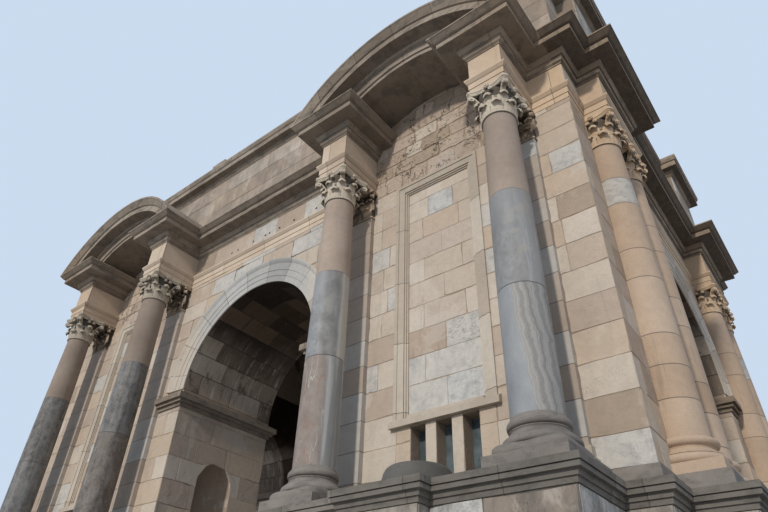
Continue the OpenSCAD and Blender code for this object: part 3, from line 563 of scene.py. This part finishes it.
# The vaults inside: voussoirs in rows along each passage, grey-brown with white lime runs near the
# spring and almost black towards the crown, with old smoke and painted shade.
def vaulted(name, spring, radius, across, along):
    """A finish for a barrel vault that springs at a height; across and along are its axes, 0 x and 1 y."""
    tall, long = 0.55, 1.12
    finish, place = new_finish(name)
    axes = place.parts()
    rise = axes[2] - spring
    turn = rise.maths("ARCTAN2", rise, abs(axes[across])) * radius
    row = math.floor(turn / tall)
    run = axes[along] + row * 0.47
    pick = (math.floor(run / long) * 3.1 + row * 17.0 + (axes[across] > 0.0) * 51.0).chance()
    # Darker towards the crown: old smoke and painted shade.
    dark = (rise + (place.noise(0.8, 4.0, 0.6) - 0.5) * (0.5 * radius)).ease(0.38 * radius, 0.86 * radius)
    clean = pick.ramp((0.1, (0.22, 0.17, 0.125)), (0.5, (0.36, 0.29, 0.225)), (0.9, (0.52, 0.44, 0.355)))
    smoke_and_shade = pick.ramp((0.2, (0.025, 0.016, 0.010)), (0.6, (0.062, 0.040, 0.024)), (0.9, (0.13, 0.088, 0.056)))
    colour, mottle, grain = age(place, dark.blend(clean, smoke_and_shade), 1.2, 1.2)
    runs = place.add("CombineXYZ", {0: run * 4.0, 1: turn * 0.45, 2: 0.0})
    lime = runs.noise(1.1, 7.0, 0.72).ease(0.53, 0.63) * (1.0 - dark)
    colour = (lime * 0.7).blend(colour, (0.60, 0.555, 0.485))
    damp = place.noise(1.3, 8.0, 0.72, 0.3).ease(0.54, 0.62) * (1.0 - dark * 0.7)
    colour = (damp * 0.65).blend(colour, (0.075, 0.058, 0.044))
    smoke = runs.noise(1.9, 6.0, 0.7).ease(0.54, 0.66) * (0.45 + dark * 0.3)
    colour = smoke.blend(colour, (0.05, 0.042, 0.036))
    bed, upright = run.maths("PINGPONG", turn, tall / 2), run.maths("PINGPONG", run, long / 2)
    joint = 1.0 - run.maths("MINIMUM", bed, upright).ease(0.003, 0.014)
    colour = (joint * 0.75).blend(colour, (0.035, 0.03, 0.026))
    close_finish(finish, colour, 0.9, mottle * 0.012 + grain * 0.004 + pick * 0.010 - joint * 0.012)
    return finish


finish_nodes(vaulted("main_vault_stone", spring, jamb, 0, 1), "main_arches")
finish_nodes(vaulted("side_vault_stone", spring, jamb, 1, 0), "side_arches")
finish_nodes(vaulted("hall_vault_stone", wall_top, 2.88, 1, 0), "hall_vault")

# Frames of the blind panels, and the flat pilasters behind the columns with their bases: pale
# limestone, built up in courses.
cream = [(0.44, 0.38, 0.31), (0.52, 0.46, 0.38), (0.58, 0.53, 0.46)]
finish_nodes(dressed("pale_moulding", cream, drums=1.48, start=5.95), "panel_frames", "pilaster_bases")
finish_nodes(dressed("pilaster_stone", [(0.38, 0.31, 0.25), (0.44, 0.38, 0.32), (0.50, 0.49, 0.46)],
                     drums=course, start=first_bed), "pilasters")

# Archivolts: moulded rings of wedge stones round the four arches, warm limestone near the springs and
# whiter and greyer towards the crown.
white = [(0.355, 0.355, 0.343), (0.42, 0.42, 0.405), (0.48, 0.478, 0.463)]
wedge, ring = 0.3142, 2.8
arch_finish, place = new_finish("archivolt_stone")
x, y, z = place.parts()
flat = abs(place.facing()[0]) > 0.5
run = flat * y + (1.0 - flat) * x
turn = z.maths("ARCTAN2", z - spring, run)
patch = math.floor(turn / wedge + 0.5).chance()
crown = abs(run).ease(2.75, 1.7) * (1.0 - flat)
warm, pale = [patch.ramp(*zip((0.1, 0.5, 0.9), colours)) for colours in (cream, white)]
colour, mottle, grain = age(place, crown.blend(warm, pale), 0.8, 0.5)
joint = 1.0 - (turn.maths("PINGPONG", turn + wedge / 2, wedge / 2) * ring).ease(0.002, 0.012)
colour = (joint * 0.7).blend(colour, (0.10, 0.09, 0.08))
close_finish(arch_finish, colour, 0.84, mottle * 0.004 + grain * 0.002 - joint * 0.006)
finish_nodes(arch_finish, "archivolts")

# Windows: three narrow ones under each panel, with dark grey-blue glass set deep in the wall behind
# the stone posts.
glass, place = new_finish("window_glass_dark")
colour = place.noise(3.0, 3.0).ease(0.3, 0.7).blend((0.07, 0.095, 0.105), (0.15, 0.19, 0.21))
close_finish(glass, colour, 0.16, place.noise(2.0) * 0.0005, 0.5)
finish_nodes(glass, "window_glass")

# Low pedestals before the blind panels: round drums of grey stone that stand on the podium, worn down
# to a dome on top.
def turned(rings, sides=48, outline=None):
    """A closed solid on the upright axis from rings of radius and height; outline shapes its plan."""
    bpy.ops.mesh.primitive_circle_add(vertices=sides, radius=1.0, fill_type="NGON")
    made = bpy.context.active_object
    for v in made.data.vertices:
        reach = rings[0][0] * (outline(math.atan2(v.co.y, v.co.x)) if outline else 1.0)
        v.co = (v.co.x * reach, v.co.y * reach, rings[0][1])
    bpy.ops.object.mode_set(mode="EDIT")
    bpy.ops.mesh.select_all(action="SELECT")
    for (r0, z0), (r1, z1) in zip(rings, rings[1:]):
        bpy.ops.mesh.extrude_region_move(TRANSFORM_OT_translate={"value": (0, 0, z1 - z0)})
        bpy.ops.transform.resize(value=(r1 / r0, r1 / r0, 1.0), center_override=(0, 0, z1))
    bpy.ops.object.mode_set(mode="OBJECT")
    return made


def copies(pattern, places, keep=False):
    """Copies of a pattern at places given as matrices, each with its own mesh. The pattern goes."""
    made = []
    for matrix in places:
        made.append(pattern.copy())
        made[-1].data = pattern.data.copy()
        made[-1].data.transform(matrix)
        bpy.context.collection.objects.link(made[-1])
    if not keep:
        bpy.data.objects.remove(pattern)
    return made


low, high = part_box("bay_pedestals")
worn_stone = dressed("worn_pedestal_stone", [(0.097, 0.093, 0.087), (0.132, 0.126, 0.118), (0.173, 0.165, 0.154)],
                     dirt_and_shade=(0.3, 0.3))
reach, rise = 0.625, high[2] - low[2]
dome = turned([(reach * c, 0.9 * rise * (1 - c ** 14))
               for c in (1.0, 0.99, 0.97, 0.94, 0.9, 0.85, 0.78, 0.68, 0.5, 0.25, 0.04)])
bpy.ops.object.shade_smooth()
domes = copies(dome, [Matrix.Translation((sx * 6.01, sy * 6.82, low[2])) for sx in (1, -1) for sy in (1, -1)])
pedestals = fixed(domes, "worn_pedestals")
pedestals.data.materials.append(worn_stone)
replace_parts(pedestals, "bay_pedestals")

# Bases of the free columns: grey stone, turned with two rolls and a hollow between them. The lower roll
# and the square plinth under it are worn into one slope.
def worn_square(a):
    """How far out the plinth reaches in the direction a: a square with rounded corners."""
    return (abs(math.cos(a)) ** 7 + abs(math.sin(a)) ** 7) ** (-1 / 7)


column_x, column_y = (-8.21, -3.81, 3.81, 8.21), 6.95
plinth = turned([(0.562, 0.0), (0.568, 0.012), (0.568, 0.085), (0.558, 0.115), (0.538, 0.14), (0.51, 0.158),
                 (0.46, 0.17)], 64, worn_square)
rolls = turned([(0.55, 0.13), (0.567, 0.16), (0.563, 0.20), (0.545, 0.235), (0.515, 0.262), (0.485, 0.283),
                (0.463, 0.297), (0.458, 0.300), (0.456, 0.317), (0.452, 0.320), (0.437, 0.322), (0.428, 0.335),
                (0.424, 0.352), (0.430, 0.368), (0.437, 0.374), (0.439, 0.378), (0.438, 0.388), (0.418, 0.390),
                (0.417, 0.397), (0.436, 0.400), (0.455, 0.416), (0.464, 0.442), (0.464, 0.474), (0.453, 0.504),
                (0.434, 0.521), (0.425, 0.523), (0.424, 0.528), (0.423, 0.545), (0.420, 0.549), (0.407, 0.557),
                (0.403, 0.579)], 64)
pattern = as_one([plinth, rolls], "base")
bpy.ops.object.shade_smooth()
bases = copies(pattern, [Matrix.Translation((x, y, wall_foot)) for x in column_x for y in (-column_y, column_y)])
bases = fixed(bases, "worn_column_bases")
bases.data.materials.append(base_stone)
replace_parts(bases, "column_bases")

# Shafts of the free columns: drums of grey-blue marble, one with bold upright veins and a mottled one
# above it, then a drum of pinkish limestone under the capital. The joints are thin.
low_joint, high_joint = 6.99, 9.04
marble, place = new_finish("veined_marble_drums")
x, y, z = place.parts()
upper = z > low_joint
outer = abs(x) > 6.0
inner = 1.0 - outer
turned_out = outer * 0.918 + inner * 0.7065
turned_back = outer * 0.397 + inner * 0.7077
across = (abs(x) - outer * 8.21 - inner * 3.81) * turned_out / 0.4 - (abs(y) - column_y) * turned_back / 0.4
wander = (place.stretch(0.55, 0.55, 0.5).noise(1.3, 3.0, 0.45) - 0.5) * 0.55
bends = (place.stretch(0.7, 0.7, 1.0).noise(2.6, 3.0, 0.5) - 0.5) * 0.46
flow = across - (low_joint - z) * 0.15 + wander + bends
shiver = (place.noise(11.0, 3.0) - 0.5) * 0.09
blue = place.stretch(1.0, 1.0, 0.5).noise(2.2, 6.0, 0.6, 0.4)
colour = blue.ramp((0.3, (0.235, 0.25, 0.27)), (0.5, (0.29, 0.305, 0.32)), (0.72, (0.36, 0.37, 0.375)))
banded = flow.ease(-0.42, -0.36) * outer * (1.0 - upper)
bands = z.maths("SINE", (flow + shiver) * 19.0)
thin_bands = (flow + shiver * 1.6) * 47.0
layer = (bands * 0.5 + 0.5).ramp((0.0, (0.225, 0.22, 0.21)), (0.4, (0.28, 0.277, 0.268)), (0.8, (0.315, 0.308, 0.29)),
                                 (1.0, (0.345, 0.335, 0.315)))
colour = banded.blend(colour, layer)
seams = banded * z.maths("SINE", thin_bands + 1.0).ease(0.93, 1.0)
colour = (seams * 0.6).blend(colour, (0.155, 0.135, 0.12))
rims = banded * z.maths("SINE", thin_bands + 0.1).ease(0.88, 1.0)
colour = (rims * 0.5).blend(colour, (0.45, 0.44, 0.415))
edge = 1.0 - abs(flow + 0.36).ease(0.012, 0.035)
colour = (edge * outer * (1.0 - upper) * 0.45).blend(colour, (0.45, 0.43, 0.39))

cloud = place.stretch(1.0, 1.0, 0.8).noise(3.4, 9.0, 0.66, 0.2)
streaky = place.stretch(5.5, 5.5, 0.35).noise(1.5, 5.0, 0.6)
mottled = cloud.ease(0.56, 0.40) * across.ease(0.7, 0.1) * upper * z.ease(8.7, 8.1, 0.3, 1.0)
colour = (mottled * 0.75).blend(colour, (0.185, 0.19, 0.192))
creamy = upper * cloud.ease(0.52, 0.66) * across.ease(-0.9, 0.1)
colour = (creamy * 0.75).blend(colour, (0.42, 0.385, 0.33))
tan_streak = upper * streaky.ease(0.50, 0.62) * across.ease(0.0, 0.35)
colour = (tan_streak * 0.65).blend(colour, (0.36, 0.30, 0.235))
pale_streak = upper * streaky.ease(0.47, 0.38) * across.ease(0.1, 0.4)
colour = (pale_streak * 0.7).blend(colour, (0.44, 0.45, 0.46))

greyed = (1.0 - upper) * inner * across.ease(-0.1, 0.3)
colour = (greyed * 0.6).blend(colour, streaky.ease(0.42, 0.62).blend((0.225, 0.218, 0.205), (0.46, 0.45, 0.42)))
rust = (1.0 - upper) * inner * (across + wander * 0.9 + (streaky - 0.5) * 0.8).ease(0.34, -0.10)
brown = cloud.ramp((0.3, (0.185, 0.140, 0.113)), (0.55, (0.258, 0.208, 0.176)), (0.8, (0.335, 0.293, 0.26)))
colour = (rust * 0.85).blend(colour, brown)
rusty = rust * (1.0 - abs(place.stretch(2.6, 2.6, 0.8).noise(1.2, 4.0, 0.6, 0.5) - 0.5).ease(0.002, 0.011))
colour = (rusty * 0.6).blend(colour, (0.24, 0.12, 0.065))
threads = place.stretch(3.4, 3.4, 0.45).noise(1.2, 2.0, 0.5, 0.2)
thread = (1.0 - abs(threads - 0.47).ease(0.001, 0.009)) * (rust + upper * 0.25) * place.noise(1.1, 2.0).ease(0.46, 0.52)
colour = (thread * 0.75).blend(colour, (0.60, 0.58, 0.54))
dull = upper * (inner * 0.15 + outer * 0.4)
colour = dull.blend(colour, (0.24, 0.233, 0.222))
heart = upper * inner * abs(across + wander * 0.5 - 0.05).ease(0.58, 0.30)
colour = (heart * 0.72).blend(colour, cloud.ease(0.35, 0.65).blend((0.135, 0.131, 0.126), (0.235, 0.23, 0.222)))
bright = upper * inner * (across + wander * 0.3).ease(0.48, 0.62)
colour = (bright * 0.75).blend(colour, (0.50, 0.465, 0.41))

far_side = (x < 0.0) * 0.95
flecks = place.noise(8.0, 8.0, 0.75, 0.5).ease(0.44, 0.58) * 0.6 + cloud.ease(0.42, 0.60) * 0.4
soiled = flecks.blend((0.055, 0.05, 0.045), (0.195, 0.178, 0.155))
colour = (far_side * (0.55 + streaky.ease(0.4, 0.6) * 0.35)).blend(colour, soiled)
grain = place.noise(60.0, 3.0)
# Grain, and painted light that makes the inner column of the right half 9% lighter.
colour = colour.tint((0.88 + grain * 0.24) * (1.0 + inner * (x > 0.0) * 0.09))
joint = 1.0 - z.maths("MINIMUM", abs(z - low_joint), abs(z - high_joint)).ease(0.003, 0.014)
colour = (joint * 0.8).blend(colour, (0.07, 0.068, 0.065))
close_finish(marble, colour, 0.5 + cloud * 0.2, place.noise(9.0, 5.0) * 0.002 + grain * 0.0006 - joint * 0.005, 0.4)
finish_nodes(marble, "marble_drums")

pinkish = [(0.285, 0.225, 0.18), (0.34, 0.275, 0.225), (0.405, 0.335, 0.275)]
finish_nodes(dressed("pinkish_drums", pinkish, stain=0.9, streaks=0.6, inner_lit_left_darker=0.2), "upper_drums")

# Engaged columns of the sides: drums of ochre limestone half sunk in the wall, on bases of the same
# stone. One drum near the top of the outer columns is paler.
ochre = [(0.41, 0.30, 0.215), (0.475, 0.36, 0.265), (0.53, 0.42, 0.325)]
drum_joints = (5.45, 6.02, 6.59, 7.725, 8.36, 9.49, 10.17)
finish_nodes(dressed("side_drums", ochre, stain=0.8, levels=drum_joints), "side_shafts", "side_column_bases")

# Capitals: cream limestone, carved with two rows of eight leaves whose tips roll out and down, scrolls
# under the corners of a hollow-sided abacus and a flower on each side; the hollows and the undersides
# of the leaves are painted near-black, with black dirt and painted shade.
capital_foot, engaged_x = 11.16, 9.6
carved, place = new_finish("carved_capitals")
x, y, z = place.parts()
side_on = abs(x) > 9.0
flat_one = (abs(y) < 6.44) * (1.0 - side_on)
cx = side_on * (abs(x) - engaged_x) + (1.0 - side_on) * (abs(abs(x) - 6.01) - 2.2)
cy = side_on * (abs(abs(y) - 4.18) - 0.66) + (1.0 - side_on) * (abs(y) - column_y)
out = z.maths("SQRT", cx * cx + cy * cy)
climb = z - capital_foot
# Painted shade and black dirt: near-black in the hollows between the leaves close to the bell, and behind the leaves of
# the pilaster capitals.
hollow = (out - z.maths("MAXIMUM", climb - 0.5, 0.0) * 0.45).ease(0.356, 0.341) * (1.0 - flat_one)
hollow = hollow + (abs(y) - 6.2).ease(0.05, 0.01) * flat_one
hollow = hollow * (climb > 0.055) * (climb < 0.735)
shades = place.noise(5.0, 6.0, 0.6)
warm = shades.ramp((0.3, (0.46, 0.33, 0.215)), (0.5, (0.55, 0.41, 0.28)), (0.7, (0.62, 0.49, 0.35)))
pale = shades.ramp((0.3, (0.47, 0.41, 0.325)), (0.5, (0.57, 0.50, 0.40)), (0.7, (0.65, 0.585, 0.48)))
colour, mottle, grain = age(place, (side_on + flat_one * 0.8).blend(pale, warm), 0.8, 0.5)
colour = (hollow * 0.9).blend(colour, (0.060, 0.050, 0.040))
# Dark patches on the pilaster capitals: soot and painted shade.
soot_and_painted_shade = flat_one * place.noise(3.0, 6.0, 0.7).ease(0.43, 0.58)
colour = (soot_and_painted_shade * 0.8).blend(colour, (0.075, 0.052, 0.036))
colour = colour.tint(1.0 - (x < 0.0) * 0.24)
# Painted shade, with dirt: the undersides of the leaves and scrolls are darker.
under = place.facing()[2].ease(-0.5, -0.9)
colour = (under * mottle.ease(0.3, 0.6, 0.6, 1.0) * 0.85 * (climb < 0.735)).blend(colour, (0.085, 0.072, 0.058))
close_finish(carved, colour, 0.84, mottle * 0.014 + grain * 0.004)


def rolled(foot, top, lean, roll):
    """A leaf seen from the side: up the bell from foot to top, leaning out, then a roll out and down."""
    line = [(0.016 + lean * k / 4, foot + (top - foot) * k / 4, 0.0) for k in range(5)]
    out, up, _ = line[-1]
    for k in range(1, 6):
        a = math.radians(180 - 44 * k)
        line.append((out + roll * (1 + math.cos(a)), up + roll * math.sin(a), roll * 0.7))
    return line


def frond(line, halves, bell):
    """A carved strip that faces +X, on a round bell or, where bell is 0, on a flat face. line gives each
    row's reach, height and how far its edges droop."""
    bpy.ops.mesh.primitive_grid_add(x_subdivisions=6, y_subdivisions=len(line) - 1, size=2.0)
    made = bpy.context.active_object
    for v in made.data.vertices:
        row = round((v.co.y + 1.0) / 2.0 * (len(line) - 1))
        side = v.co.x
        reach, up, droop = line[row]
        fold = (0.009, -0.005, 0.005, -0.012)[round(abs(side) * 3)]
        wide = side * halves[row]
        reach, up = reach + fold - droop * side * side * 0.6, up - droop * side * side
        turn = wide / (bell + reach) if bell else 0.0
        v.co = ((bell + reach) * math.cos(turn), (bell + reach) * math.sin(turn), up) if bell else (reach, wide, up)
    shaped(made, "SOLIDIFY", thickness=0.024, offset=0.0)
    shaped(made, "SUBSURF", levels=1, render_levels=1)
    bpy.ops.object.shade_smooth()
    return made


def scroll(radius, width):
    """A scroll's round end, lying on the upright axis."""
    return turned([(radius * 0.3, -width * 0.6), (radius * 0.42, -width * 0.5), (radius * 0.5, -width * 0.44),
                   (radius * 0.9, -width * 0.5), (radius, -width * 0.4), (radius * 0.94, 0.0), (radius, width * 0.4),
                   (radius * 0.9, width * 0.5), (radius * 0.5, width * 0.44), (radius * 0.42, width * 0.5),
                   (radius * 0.3, width * 0.6)], 20)


def hollow_square(a):
    """How far out the abacus reaches in the direction a: four hollow sides with cut corners."""
    a = abs((a + math.pi / 4) % (math.pi / 2) - math.pi / 4)
    hollow = 2.8 * math.cos(a) - math.sqrt(max(0.0, 1.98 ** 2 - (2.8 * math.sin(a)) ** 2))
    return min(hollow, 1.32 / math.cos(math.pi / 4 - a))


def petals(a):
    return 1.0 + 0.16 * math.cos(6 * a)


leaf_halves = [0.146, 0.140, 0.146, 0.136, 0.138, 0.112, 0.108, 0.104, 0.098, 0.078]
tall_halves = [0.9 * w for w in leaf_halves]
stalk = [(0.02, 0.38, 0.0), (0.03, 0.46, 0.0), (0.06, 0.54, 0.0), (0.11, 0.62, 0.0), (0.17, 0.69, 0.0),
         (0.24, 0.725, 0.0)]
stalk_halves = [0.05, 0.06, 0.06, 0.055, 0.055, 0.055]
on_edge = Matrix.Rotation(math.pi / 2, 4, "X")
outwards = Matrix.Rotation(math.pi / 2, 4, "Y")


def round_about(pattern, angles):
    return copies(pattern, [Matrix.Rotation(math.radians(degrees), 4, "Z") for degrees in angles])


def shifted(piece, matrix):
    piece.data.transform(matrix)
    return piece


parts = [turned([(0.30, 0.0), (0.368, 0.0), (0.376, 0.018), (0.368, 0.05), (0.342, 0.054), (0.338, 0.40), (0.355, 0.52),
                 (0.395, 0.64), (0.42, 0.731)], 40)]
bpy.ops.object.shade_smooth()
parts.append(turned([(0.44, 0.728), (0.455, 0.742), (0.478, 0.772), (0.478, 0.788), (0.499, 0.796), (0.499, 0.850)],
                    64, hollow_square))
parts += round_about(frond(rolled(0.04, 0.255, 0.026, 0.056), leaf_halves, 0.338), [22.5 + 45 * k for k in range(8)])
parts += round_about(frond(rolled(0.20, 0.485, 0.040, 0.056), tall_halves, 0.338), [45 * k for k in range(8)])
parts += round_about(frond(stalk, stalk_halves, 0.338), [45 + 90 * k for k in range(4)])
parts += round_about(shifted(scroll(0.078, 0.115), Matrix.Translation((0.575, 0, 0.652)) @ on_edge),
                     [45 + 90 * k for k in range(4)])
parts += round_about(shifted(scroll(0.048, 0.07), Matrix.Translation((0.435, 0, 0.672)) @ outwards),
                     [90 * k + d for k in range(4) for d in (-11, 11)])
flower = [(0.052, 0.0), (0.062, 0.05), (0.05, 0.075), (0.024, 0.07), (0.022, 0.09), (0.008, 0.098)]
parts += round_about(shifted(turned(flower, 36, petals), Matrix.Translation((0.40, 0, 0.79)) @ outwards),
                     [90 * k for k in range(4)])
capital = as_one(parts, "capital")
capital.data.materials.append(carved)
for side, node, places in (("front", "front_capitals", [(x, -column_y) for x in column_x]),
                           ("back", "back_capitals", [(x, column_y) for x in column_x]),
                           ("left", "side_capitals", [(-engaged_x, y) for y in (-4.84, -3.52, 3.52, 4.84)]),
                           ("right", "side_capitals", [(engaged_x, y) for y in (-4.84, -3.52, 3.52, 4.84)])):
    row = copies(capital, [Matrix.Translation((x, y, capital_foot)) for x, y in places], keep=True)
    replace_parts(fixed(row, f"carved_{side}_capitals"), node)
bpy.data.objects.remove(capital)

# Pilaster capitals: the same leaves, scrolls and flower, carved on the flat pilasters behind the free
# columns. They are brown, and painted dark in patches and behind the leaves: soot, because no rain
# reaches them, and painted shade.
parts = []
for up_at, size in ((0.3655, (0.26, 0.80, 0.731)), (0.025, (0.31, 0.848, 0.05)), (0.79, (0.50, 0.96, 0.118))):
    bpy.ops.mesh.primitive_cube_add(size=1.0)
    parts.append(shifted(bpy.context.active_object, Matrix.Translation((0, 0, up_at)) @ Matrix.Diagonal((*size, 1.0))))
    shaped(parts[-1], "BEVEL", width=0.014, segments=2)
face = Matrix.Translation((0.13, 0, 0))


def along_face(pattern, places):
    return copies(pattern, [face @ Matrix.Translation((0, at, 0)) for at in places])


parts += along_face(frond(rolled(0.04, 0.265, 0.030, 0.042), leaf_halves, 0.0), (-0.27, 0.0, 0.27))
parts += along_face(frond(rolled(0.20, 0.495, 0.045, 0.042), tall_halves, 0.0), (-0.375, -0.135, 0.135, 0.375))
parts += along_face(shifted(scroll(0.048, 0.07), Matrix.Translation((0.05, 0, 0.672)) @ outwards), (-0.10, 0.10))
for side in (-1, 1):
    turn = Matrix.Rotation(side * math.pi / 4, 4, "Z")
    parts.append(shifted(scroll(0.078, 0.11), face @ Matrix.Translation((0.05, side * 0.42, 0.652)) @ turn @ on_edge))
parts.append(shifted(turned(flower, 36, petals), face @ Matrix.Translation((0.10, 0, 0.79)) @ outwards))
flat_capital = as_one(parts, "flat_capital")
flat_capital.data.materials.append(carved)
row = copies(flat_capital, [Matrix.Translation((x, way * front_face, capital_foot))
                            @ Matrix.Rotation(way * math.pi / 2, 4, "Z") for way in (-1, 1) for x in column_x])
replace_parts(fixed(row, "carved_pilaster_capitals"), "pilaster_capitals")

# Entablature, imposts and arched pediments: mouldings of long cut blocks. The cornices are browner, and
# painted dark on their undersides, with soot where the rain never washes them and with painted shade.
honey = [(0.47, 0.37, 0.28), (0.565, 0.455, 0.35), (0.65, 0.545, 0.43)]
four_sides = ("front", "back", "left", "right")
finish_nodes(dressed("entablature_stone", honey, along=1.83, dirt_and_shade=(0.5, 0.0), honeyed=1.0),
             *[f"{side}_{part}" for side in four_sides for part in ("architrave", "frieze")])
dusky = [(0.235, 0.192, 0.15), (0.31, 0.256, 0.203), (0.39, 0.336, 0.272)]
cornice_stone = dressed("cornice_weathered", dusky, along=1.21, dirt_and_shade=(0.62, 0.55), streaks=1.4, honeyed=1.0)
finish_nodes(cornice_stone, "imposts", "pediments", "attic_cornice", *[f"{side}_cornice" for side in four_sides])

# Rough masonry under each arched pediment: smaller stones in wide joints, broken and pitted, because
# they have lost their facing.
rubble = laid_stone("rough_masonry", (1.36,) * 3, relief=2.5, broken=1.0)
finish_nodes(rubble, "bay_upper_walls")
for side, seed in (("front", 111), ("back", 116)):
    fixed([lay_wall(side, front_face, a, a + 3.63, beds(11.80, 14.6, 11.87, 0.43), pitch=0.72, letters="kktbtp",
                    jitter=0.22, gap=0.022, proud=0.016, chipped=0.06, seed=seed + k, finish=rubble)
           for k, a in enumerate((-7.825, 4.195))], f"rough_masonry_{side}")

# The friezes: one course of long tall blocks. Along the front one is a row of small round holes, where
# something was once pinned; they are cut through the blocks and lined with near-black, which paints the
# shade deep in the holes together with their dirt.
tall = [12.45, 13.17]
fixed([lay_wall("front", front_face, -3.43, 3.43, tall, [("tkwtw", -2.44, -0.62, 0.40, 1.56)], seed=121),
       lay_wall("back", front_face, -3.43, 3.43, tall, pitch=1.5, letters="kkhw", seed=122)]
      + [lay_wall(side, side_face, a, b, tall, pitch=1.5, letters="kkhp", seed=123 + k) for side in ("left", "right")
         for k, (a, b) in enumerate(((-front_face, -5.22), (-3.14, 3.14), (5.22, front_face)))],
      "ashlar_friezes")


def cut_away(piece, shape, **size):
    """Cuts a primitive's shape out of a piece."""
    bpy.ops.object.select_all(action="DESELECT")
    shape(**size)
    tool = bpy.context.active_object
    outward(piece)
    shaped(piece, "BOOLEAN", object=tool, solver="FAST")
    bpy.data.objects.remove(tool)


# A near-black lining: the painted shade deep in the holes, with their dirt.
shade_lined, place = new_finish("painted_shade_in_holes")
grit = place.noise(90.0, 4.0)
close_finish(shade_lined, grit.blend((0.02, 0.017, 0.014), (0.075, 0.06, 0.048)), 0.95, grit * 0.003)
frieze_blocks = bpy.data.objects["ashlar_friezes"]
linings, hole_level = [], 12.69
for at in (-1.604, -1.316, -0.604, -0.076, 0.108, 0.532, 1.140, 2.020):
    cut_away(frieze_blocks, bpy.ops.mesh.primitive_cylinder_add, vertices=16, radius=0.036, depth=0.2,
             location=(at, -front_face, hole_level), rotation=(math.radians(90), 0, 0))
    lining = turned([(0.039, -0.004), (0.039, 0.008), (0.031, 0.009), (0.028, 0.002), (0.006, 0.0015)], 16)
    lining.data.transform(Matrix.Translation((at, -front_face - 0.001, hole_level))
                          @ Matrix.Rotation(math.radians(90), 4, "X"))
    lining.data.materials.append(shade_lined)
    linings.append(lining)
fixed(linings, "frieze_hole_linings")

# The attic: a plain wall of long blocks in four courses, a little higher than those below and darker
# with grime, which steps forward over the side columns.
attic, projection = [13.82, 14.52, 15.21, 15.91, 16.60], 9.946
washed = laid_stone("attic_limestone", (0.83,) * 3, relief=1.4, grime=0.4)
fixed([lay_wall(side, front_face, -9.472, 9.472, attic, pitch=1.7, letters="kkkhtcp", seed=131 + k, jitter=0.15,
                finish=washed) for k, side in enumerate(("front", "back"))]
      + [lay_wall(side, plane, a, b, attic, pitch=1.4, letters="kkkhtwp", seed=135 + k, jitter=0.15, finish=washed)
         for side in ("left", "right")
         for k, (plane, a, b) in enumerate((
             (side_face, -front_face, -5.236), (side_face, -3.124, 3.124), (side_face, 5.236, front_face),
             (projection, -5.248, -3.112), (projection, 3.112, 5.248)))], "ashlar_attic")
finish_nodes(washed, "attic_walls")

# The one loose stone left on the attic's cornice: a slab of the same stone with broken edges. It lies
# at the front lip.
dice = random.Random(7)
bpy.ops.mesh.primitive_cube_add(size=1.0)
loose = bpy.context.active_object
middle, size = (-3.20, -6.09, 17.293), (0.70, 0.68, 0.150)
loose.data.transform(Matrix.Translation(middle) @ Matrix.Diagonal((*size, 1.0)))
shaped(loose, "BEVEL", width=0.022, segments=2)
bpy.ops.object.mode_set(mode="EDIT")
bpy.ops.mesh.select_all(action="SELECT")
bpy.ops.mesh.subdivide(number_cuts=3)
bpy.ops.object.mode_set(mode="OBJECT")
for v in loose.data.vertices:
    v.co += Vector((dice.uniform(-1, 1), dice.uniform(-1, 1), dice.uniform(-1, 1))) * 0.006
loose.data.materials.append(cornice_stone)
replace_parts(fixed([loose], "loose_attic_stone"), "attic_block")

# The roof behind the attic: large worn slabs laid in rows with staggered joints, and spotted with
# lichen.
slab_finish, place = new_finish("roof_slabs")
slabs = place.add("TexBrick", {0: place, "Color1": (0.29, 0.255, 0.215, 1.0), "Color2": (0.20, 0.178, 0.152, 1.0),
                               "Mortar": (0.07, 0.062, 0.055, 1.0), "Scale": 1.0, "Mortar Size": 0.012,
                               "Brick Width": 1.776, "Row Height": 0.888})
colour, mottle, grain = age(place, slabs, 1.2, 0.3)
lichen = place.noise(0.9, 9.0, 0.74, 0.5).ease(0.50, 0.60)
colour = (lichen * 0.55).blend(colour, (0.13, 0.122, 0.105))
close_finish(slab_finish, colour, 0.9, mottle * 0.006 + grain * 0.003)
finish_nodes(slab_finish, "roof_slab")
